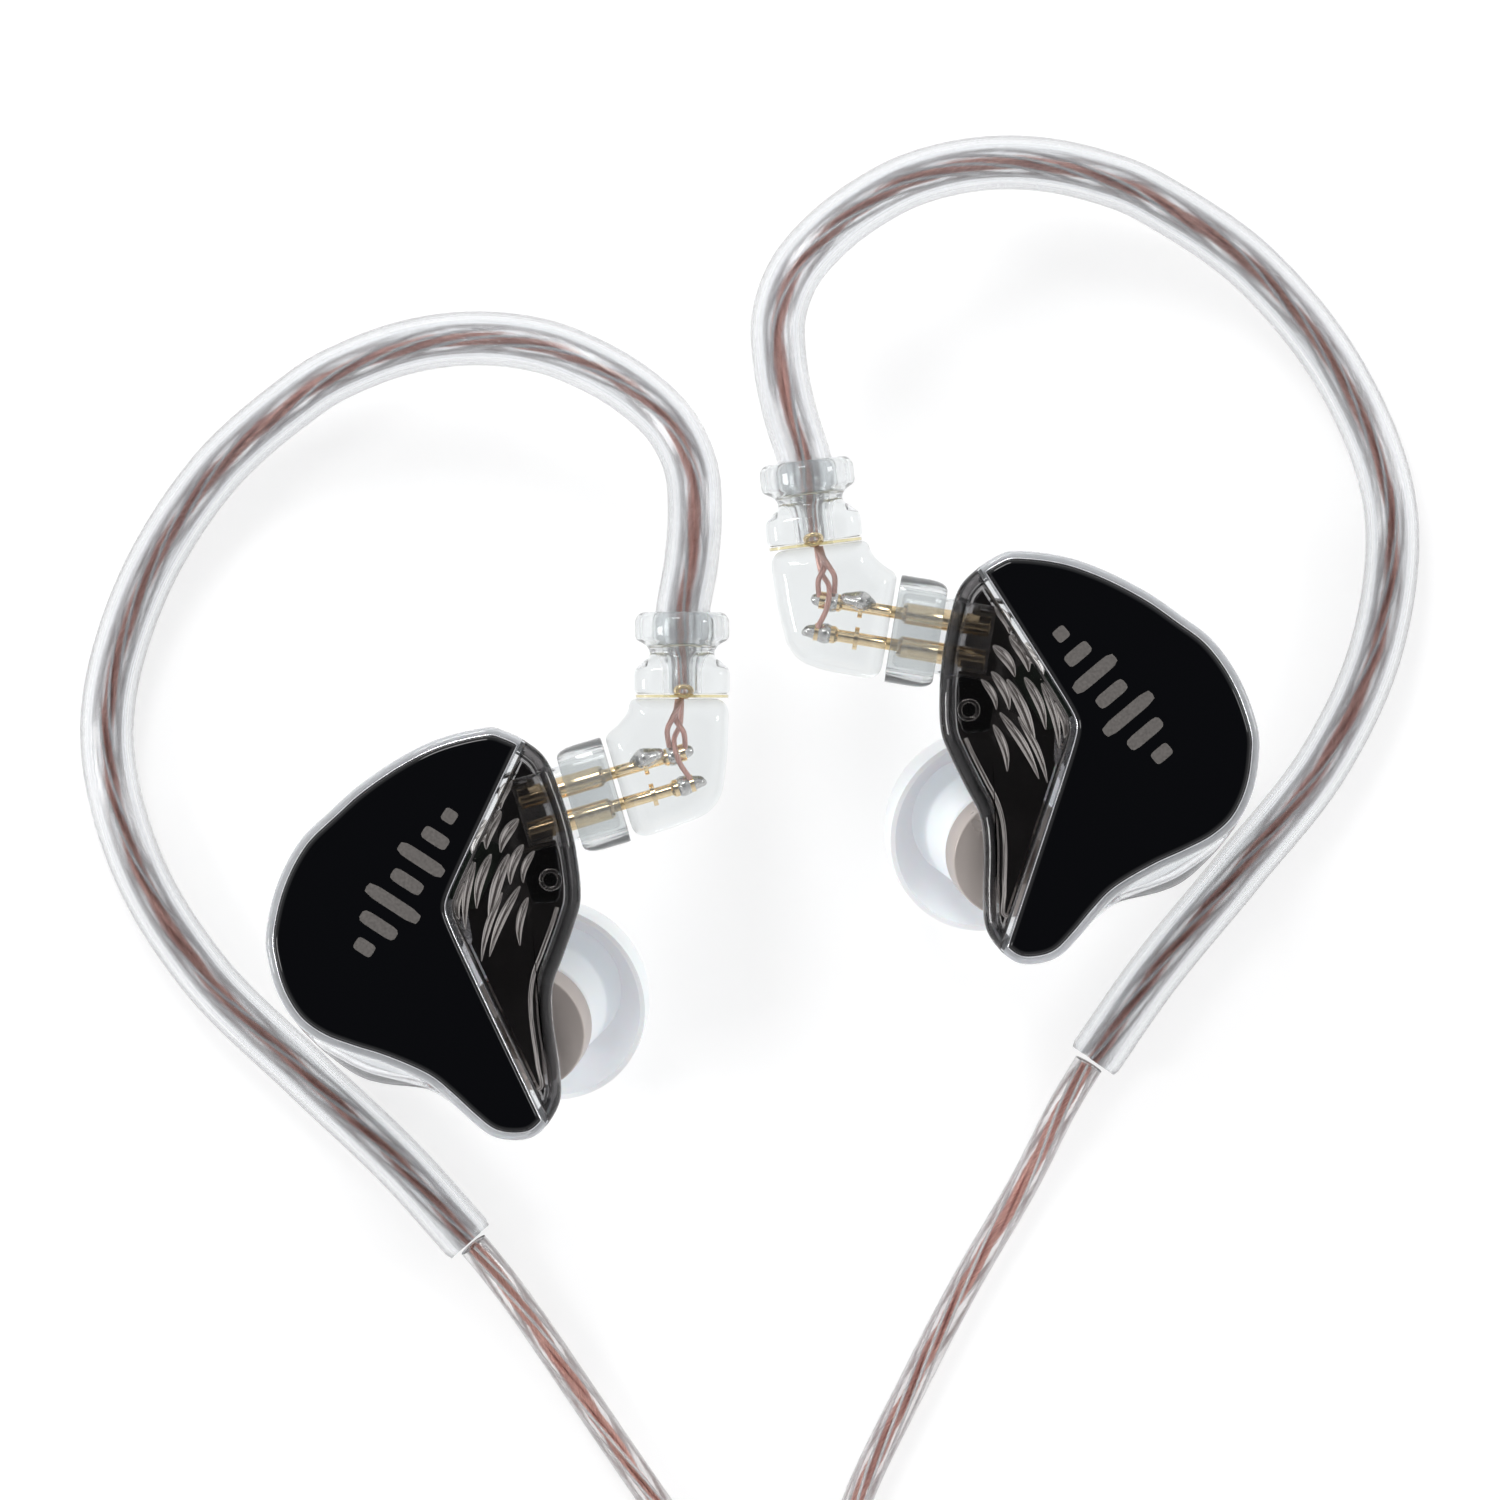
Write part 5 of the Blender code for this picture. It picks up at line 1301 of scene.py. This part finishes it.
def make_cords(finish):
    """Both side cords and the main cord, with the strands inside their clear jackets."""
    splitter, strap, jack = make_splitter(finish), make_tie(finish), make_jack(finish)
    runs = (
        ("left_lead", left_route(), SIDE_RADIUS, 1.0, ["left_cable"], "fitting", [splitter]),
        ("right_lead", right_route(), SIDE_RADIUS, 1.0, ["right_cable"], "fitting", [splitter]),
        ("main_lead", main_route(), MAIN_RADIUS, 1.3, ["main_cable", "cable_coil"], "plug", [strap, *jack]),
    )
    for name, route, radius, scale, nodes, far_end, extras in runs:
        lead = add_piece(name, [tube(route, radius * MM, 18)], finish["jacket"], "root", nodes)
        copper, silver = strands(route, scale)
        copper = add_piece(f"{name}_copper", copper, finish["copper"])
        silver = add_piece(f"{name}_silver", silver, finish["silver"])


# ---------------------------------------------------------------------------------------------------------
# Parts of the frame that stay, camera and stage
# ---------------------------------------------------------------------------------------------------------


def finish_inner_nodes(finish):
    """Gives the drivers and boards, which keep the frame's own shapes, their surfaces."""
    surfaces = {
        "driver_frame": "steel", "driver_magnet": "tin", "voice_coil": "wire", "driver_diaphragm": "film",
        "crossover_board": "board",
    }
    for item in bpy.data.objects:
        surface = surfaces.get(item.get("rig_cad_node", "").partition("_")[2])
        if surface:
            item.data.materials.clear()
            item.data.materials.append(finish[surface])


def make_camera(settings):
    """Long lens high above the middle of the view, straight down, with +Y up the picture."""
    data = bpy.data.cameras.new("view")
    data.sensor_width = 36.0
    data.lens = 36.0 * (settings.height - settings.plane) / settings.view_width
    data.clip_start, data.clip_end = 0.01, 10.0
    camera = bpy.data.objects.new("view", data)
    camera.location = (*settings.centre, settings.height)
    bpy.context.scene.collection.objects.link(camera)
    bpy.context.scene.camera = camera


def make_floor(settings):
    """A pale square that gives off some light, just under the set."""
    size, z = 3.0, -0.05 * MM
    mesh = bpy.data.meshes.new("floor")
    corners = [(-size, -size, z), (size, -size, z), (size, size, z), (-size, size, z)]
    mesh.from_pydata(corners, [], [(0, 1, 2, 3)])
    material, shader = plain_surface("pale_floor", (0.38, 0.38, 0.38), 0.6)
    grain = use_group(material, GROUPS["grain"], "Object", Scale=40.0, Low=0.55, High=0.65)
    material.node_tree.links.new(grain.outputs["Value"], shader.inputs["Roughness"])
    shader.inputs["Emission Color"].default_value = (1.0, 1.0, 1.0, 1.0)
    shader.inputs["Emission Strength"].default_value = settings.floor_glow
    mesh.materials.append(material)
    floor = bpy.data.objects.new("floor", mesh)
    bpy.context.scene.collection.objects.link(floor)


def make_sky(settings):
    """Dark straight above, so that the black plates stay black, and bright towards the horizon."""
    world = bpy.data.worlds.new("studio")
    bpy.context.scene.world = world
    world.use_nodes = True
    tree = world.node_tree
    split = tree.nodes.new("ShaderNodeSeparateXYZ")
    tree.links.new(tree.nodes.new("ShaderNodeTexCoord").outputs["Generated"], split.inputs[0])
    ramp = tree.nodes.new("ShaderNodeValToRGB")
    stops = (
        (0.0, settings.horizon), (0.6, settings.horizon * 0.85), (0.88, settings.horizon * 0.45),
        (0.97, settings.zenith), (1.0, settings.zenith),
    )
    while len(ramp.color_ramp.elements) < len(stops):
        ramp.color_ramp.elements.new(0.5)
    for element, (position, value) in zip(ramp.color_ramp.elements, stops):
        element.position = position
        element.color = (value, value, value * 1.02, 1.0)
    tree.links.new(split.outputs[2], ramp.inputs[0])
    tree.links.new(ramp.outputs[0], tree.nodes["Background"].inputs[0])


def make_lights(settings):
    """Three softboxes that face the set, each with its place, size and share of the full power."""
    middle = Vector((0.0, -0.01, 0.01))
    for name, place, size, share in (
        ("softbox_back", (-0.25, 0.75, 0.75), 0.3, 1.0), ("softbox_left", (-0.85, -0.1, 0.6), 0.25, 0.7),
        ("softbox_right", (0.8, 0.25, 0.5), 0.2, 0.35),
    ):
        data = bpy.data.lights.new(name, "AREA")
        data.shape = "SQUARE"
        data.size = size
        data.energy = settings.softbox_power * share
        light = bpy.data.objects.new(name, data)
        light.location = place
        light.rotation_euler = (middle - Vector(place)).to_track_quat("-Z", "Y").to_euler()
        bpy.context.scene.collection.objects.link(light)


# ---------------------------------------------------------------------------------------------------------
# Settings
# ---------------------------------------------------------------------------------------------------------


class ViewSettings(bpy.types.PropertyGroup):
    """Where the camera stands and how much it takes in."""

    height: FloatProperty(name="Height", description="Camera above the floor", default=1.2, unit="LENGTH")
    plane: FloatProperty(
        name="Plane", description="Height at which the view has its width", default=0.012, unit="LENGTH"
    )
    view_width: FloatProperty(
        name="View width", description="Width that the picture takes in", default=0.09375, unit="LENGTH",
        precision=5,
    )
    centre: FloatVectorProperty(
        name="Centre", description="Middle of the picture", size=2, default=(-0.00006, -0.00331),
        subtype="XYZ", unit="LENGTH",
    )


class ColourSettings(bpy.types.PropertyGroup):
    """Colours of the set's main materials."""

    black: FloatVectorProperty(
        name="Plate", description="Gloss black plates", size=3, default=(0.0022, 0.0024, 0.0032),
        subtype="COLOR",
    )
    smoke: FloatVectorProperty(
        name="Window", description="Smoky windows", size=3, default=(0.78, 0.765, 0.755), subtype="COLOR"
    )
    # Colour of the painted shade on the windows' rounded edges.
    window_edge_shade: FloatVectorProperty(
        name="Window edge", description="Rounded edge of the windows", size=3, default=(0.2, 0.19, 0.19),
        subtype="COLOR",
    )
    silicone: FloatVectorProperty(
        name="Tips", description="Silicone tips", size=3, default=(0.84, 0.868, 0.885), subtype="COLOR"
    )
    copper: FloatVectorProperty(
        name="Strands", description="Copper strands", size=3, default=(0.8, 0.48, 0.41), subtype="COLOR"
    )
    printed: FloatVectorProperty(
        name="Print", description="Sound bars on the plates", size=3, default=(0.17, 0.155, 0.145),
        subtype="COLOR",
    )


class CordSettings(bpy.types.PropertyGroup):
    """How the strands lie in the clear cords."""

    copper_pitch: FloatProperty(
        name="Copper pitch", description="Length in which the copper strands turn once", default=0.013,
        unit="LENGTH", precision=4,
    )
    silver_pitch: FloatProperty(
        name="Silver pitch", description="Length in which the silver wires turn once", default=0.036,
        unit="LENGTH", precision=4,
    )


class StageSettings(bpy.types.PropertyGroup):
    """Light on the set."""

    floor_glow: FloatProperty(
        name="Floor glow", description="Light that the floor gives off", default=0.7, min=0.0, soft_max=2.0,
        subtype="FACTOR",
    )
    horizon: FloatProperty(
        name="Horizon", description="Light from the sides", default=1.0, min=0.0, soft_max=2.0,
        subtype="FACTOR",
    )
    zenith: FloatProperty(
        name="Zenith", description="Light from straight above", default=0.05, min=0.0, soft_max=2.0,
        subtype="FACTOR",
    )
    softbox_power: FloatProperty(
        name="Softboxes", description="Power of the largest softbox", default=4.0, min=0.0, unit="POWER"
    )


# ---------------------------------------------------------------------------------------------------------
# Operators
# ---------------------------------------------------------------------------------------------------------


class MONITORS_OT_finishes(bpy.types.Operator):
    """Makes the shared effects and the materials"""

    bl_idname = "monitors.finishes"
    bl_label = "Materials"

    def execute(self, context):
        GROUPS["grain"], GROUPS["streak"] = make_grain_group(), make_streak_group()
        FINISH.update(make_materials(context.scene.monitor_colours))
        return {"FINISHED"}


class MONITORS_OT_camera(bpy.types.Operator):
    """Sets the camera above the set"""

    bl_idname = "monitors.camera"
    bl_label = "Camera"

    def execute(self, context):
        make_camera(context.scene.monitor_view)
        return {"FINISHED"}


class MONITORS_OT_cords(bpy.types.Operator):
    """Makes both side cords, the main cord, the splitter, the strap and the plug at the end"""

    bl_idname = "monitors.cords"
    bl_label = "Cords"

    def execute(self, context):
        make_cords(FINISH)
        return {"FINISHED"}


class MONITORS_OT_shells(bpy.types.Operator):
    """Makes the clear cups, the rim trays and the smoky windows"""

    bl_idname = "monitors.shells"
    bl_label = "Shells"

    def execute(self, context):
        for side in SIDES:
            make_rear_shell(side, FINISH)
            make_cover(side, FINISH)
        return {"FINISHED"}


class MONITORS_OT_plates(bpy.types.Operator):
    """Makes the black plates, their beads and their sound bars"""

    bl_idname = "monitors.plates"
    bl_label = "Plates"

    def execute(self, context):
        for side in SIDES:
            make_faceplate(side, FINISH)
            make_bead(side, FINISH)
            make_level_bars(side, FINISH)
        return {"FINISHED"}


class MONITORS_OT_insides(bpy.types.Operator):
    """Makes what shows through the windows, and finishes the drivers and boards"""

    bl_idname = "monitors.insides"
    bl_label = "Insides"

    def execute(self, context):
        for side in SIDES:
            make_deck(side, FINISH)
            make_inner_lip(side, FINISH)
            make_vent(side, FINISH)
            make_ribs(side, FINISH)
            make_resin(side, FINISH)
        finish_inner_nodes(FINISH)
        return {"FINISHED"}


class MONITORS_OT_nozzles(bpy.types.Operator):
    """Makes the sound tubes with their screens, and the soft tips"""

    bl_idname = "monitors.nozzles"
    bl_label = "Nozzles and tips"

    def execute(self, context):
        for side in SIDES:
            make_nozzle(side, FINISH)
            make_eartip(side, FINISH)
        return {"FINISHED"}


class MONITORS_OT_plugs(bpy.types.Operator):
    """Makes the towers and contacts, and the plugs with their pins and strain reliefs"""

    bl_idname = "monitors.plugs"
    bl_label = "Plugs"

    def execute(self, context):
        for side in SIDES:
            make_tower(side, FINISH)
            make_hood(side, FINISH)
            make_plug_body(side, FINISH)
            make_pins(side, FINISH)
            make_spool(side, FINISH)
        return {"FINISHED"}


class MONITORS_OT_hooks(bpy.types.Operator):
    """Makes the ear hooks with the cable inside them"""

    bl_idname = "monitors.hooks"
    bl_label = "Ear hooks"

    def execute(self, context):
        for side in SIDES:
            make_hook(side, FINISH)
        return {"FINISHED"}


class MONITORS_OT_stage(bpy.types.Operator):
    """Makes the floor, the sky and the lights"""

    bl_idname = "monitors.stage"
    bl_label = "Stage"

    def execute(self, context):
        settings = context.scene.monitor_stage
        make_floor(settings)
        make_sky(settings)
        make_lights(settings)
        context.scene.view_settings.view_transform = "Standard"
        return {"FINISHED"}


class MONITORS_PT_panel(bpy.types.Panel):
    """Settings and steps of the set"""

    bl_idname = "MONITORS_PT_panel"
    bl_label = "In ear monitors"
    bl_space_type = "VIEW_3D"
    bl_region_type = "UI"
    bl_category = "Monitors"

    def draw(self, context):
        for group in (
            context.scene.monitor_view, context.scene.monitor_colours, context.scene.monitor_cords,
            context.scene.monitor_stage,
        ):
            column = self.layout.column(align=True)
            for name in group.bl_rna.properties.keys():
                if name not in {"rna_type", "name"}:
                    column.prop(group, name)
        column = self.layout.column(align=True)
        for step in STEPS:
            column.operator(f"monitors.{step}")


STEPS = ("finishes", "camera", "cords", "shells", "plates", "insides", "nozzles", "plugs", "hooks", "stage")
SETTINGS = {
    "monitor_view": ViewSettings, "monitor_colours": ColourSettings, "monitor_cords": CordSettings,
    "monitor_stage": StageSettings,
}
CLASSES = (
    *SETTINGS.values(), MONITORS_OT_finishes, MONITORS_OT_camera, MONITORS_OT_cords, MONITORS_OT_shells,
    MONITORS_OT_plates, MONITORS_OT_insides, MONITORS_OT_nozzles, MONITORS_OT_plugs, MONITORS_OT_hooks,
    MONITORS_OT_stage, MONITORS_PT_panel,
)


def register():
    for item in CLASSES:
        bpy.utils.register_class(item)
    for name, group in SETTINGS.items():
        setattr(bpy.types.Scene, name, PointerProperty(type=group))


def unregister():
    for name in SETTINGS:
        delattr(bpy.types.Scene, name)
    for item in reversed(CLASSES):
        bpy.utils.unregister_class(item)


def main():
    register()
    for step in STEPS:
        getattr(bpy.ops.monitors, step)()
    bpy.context.view_layer.update()


if __name__ == "__main__":
    main()
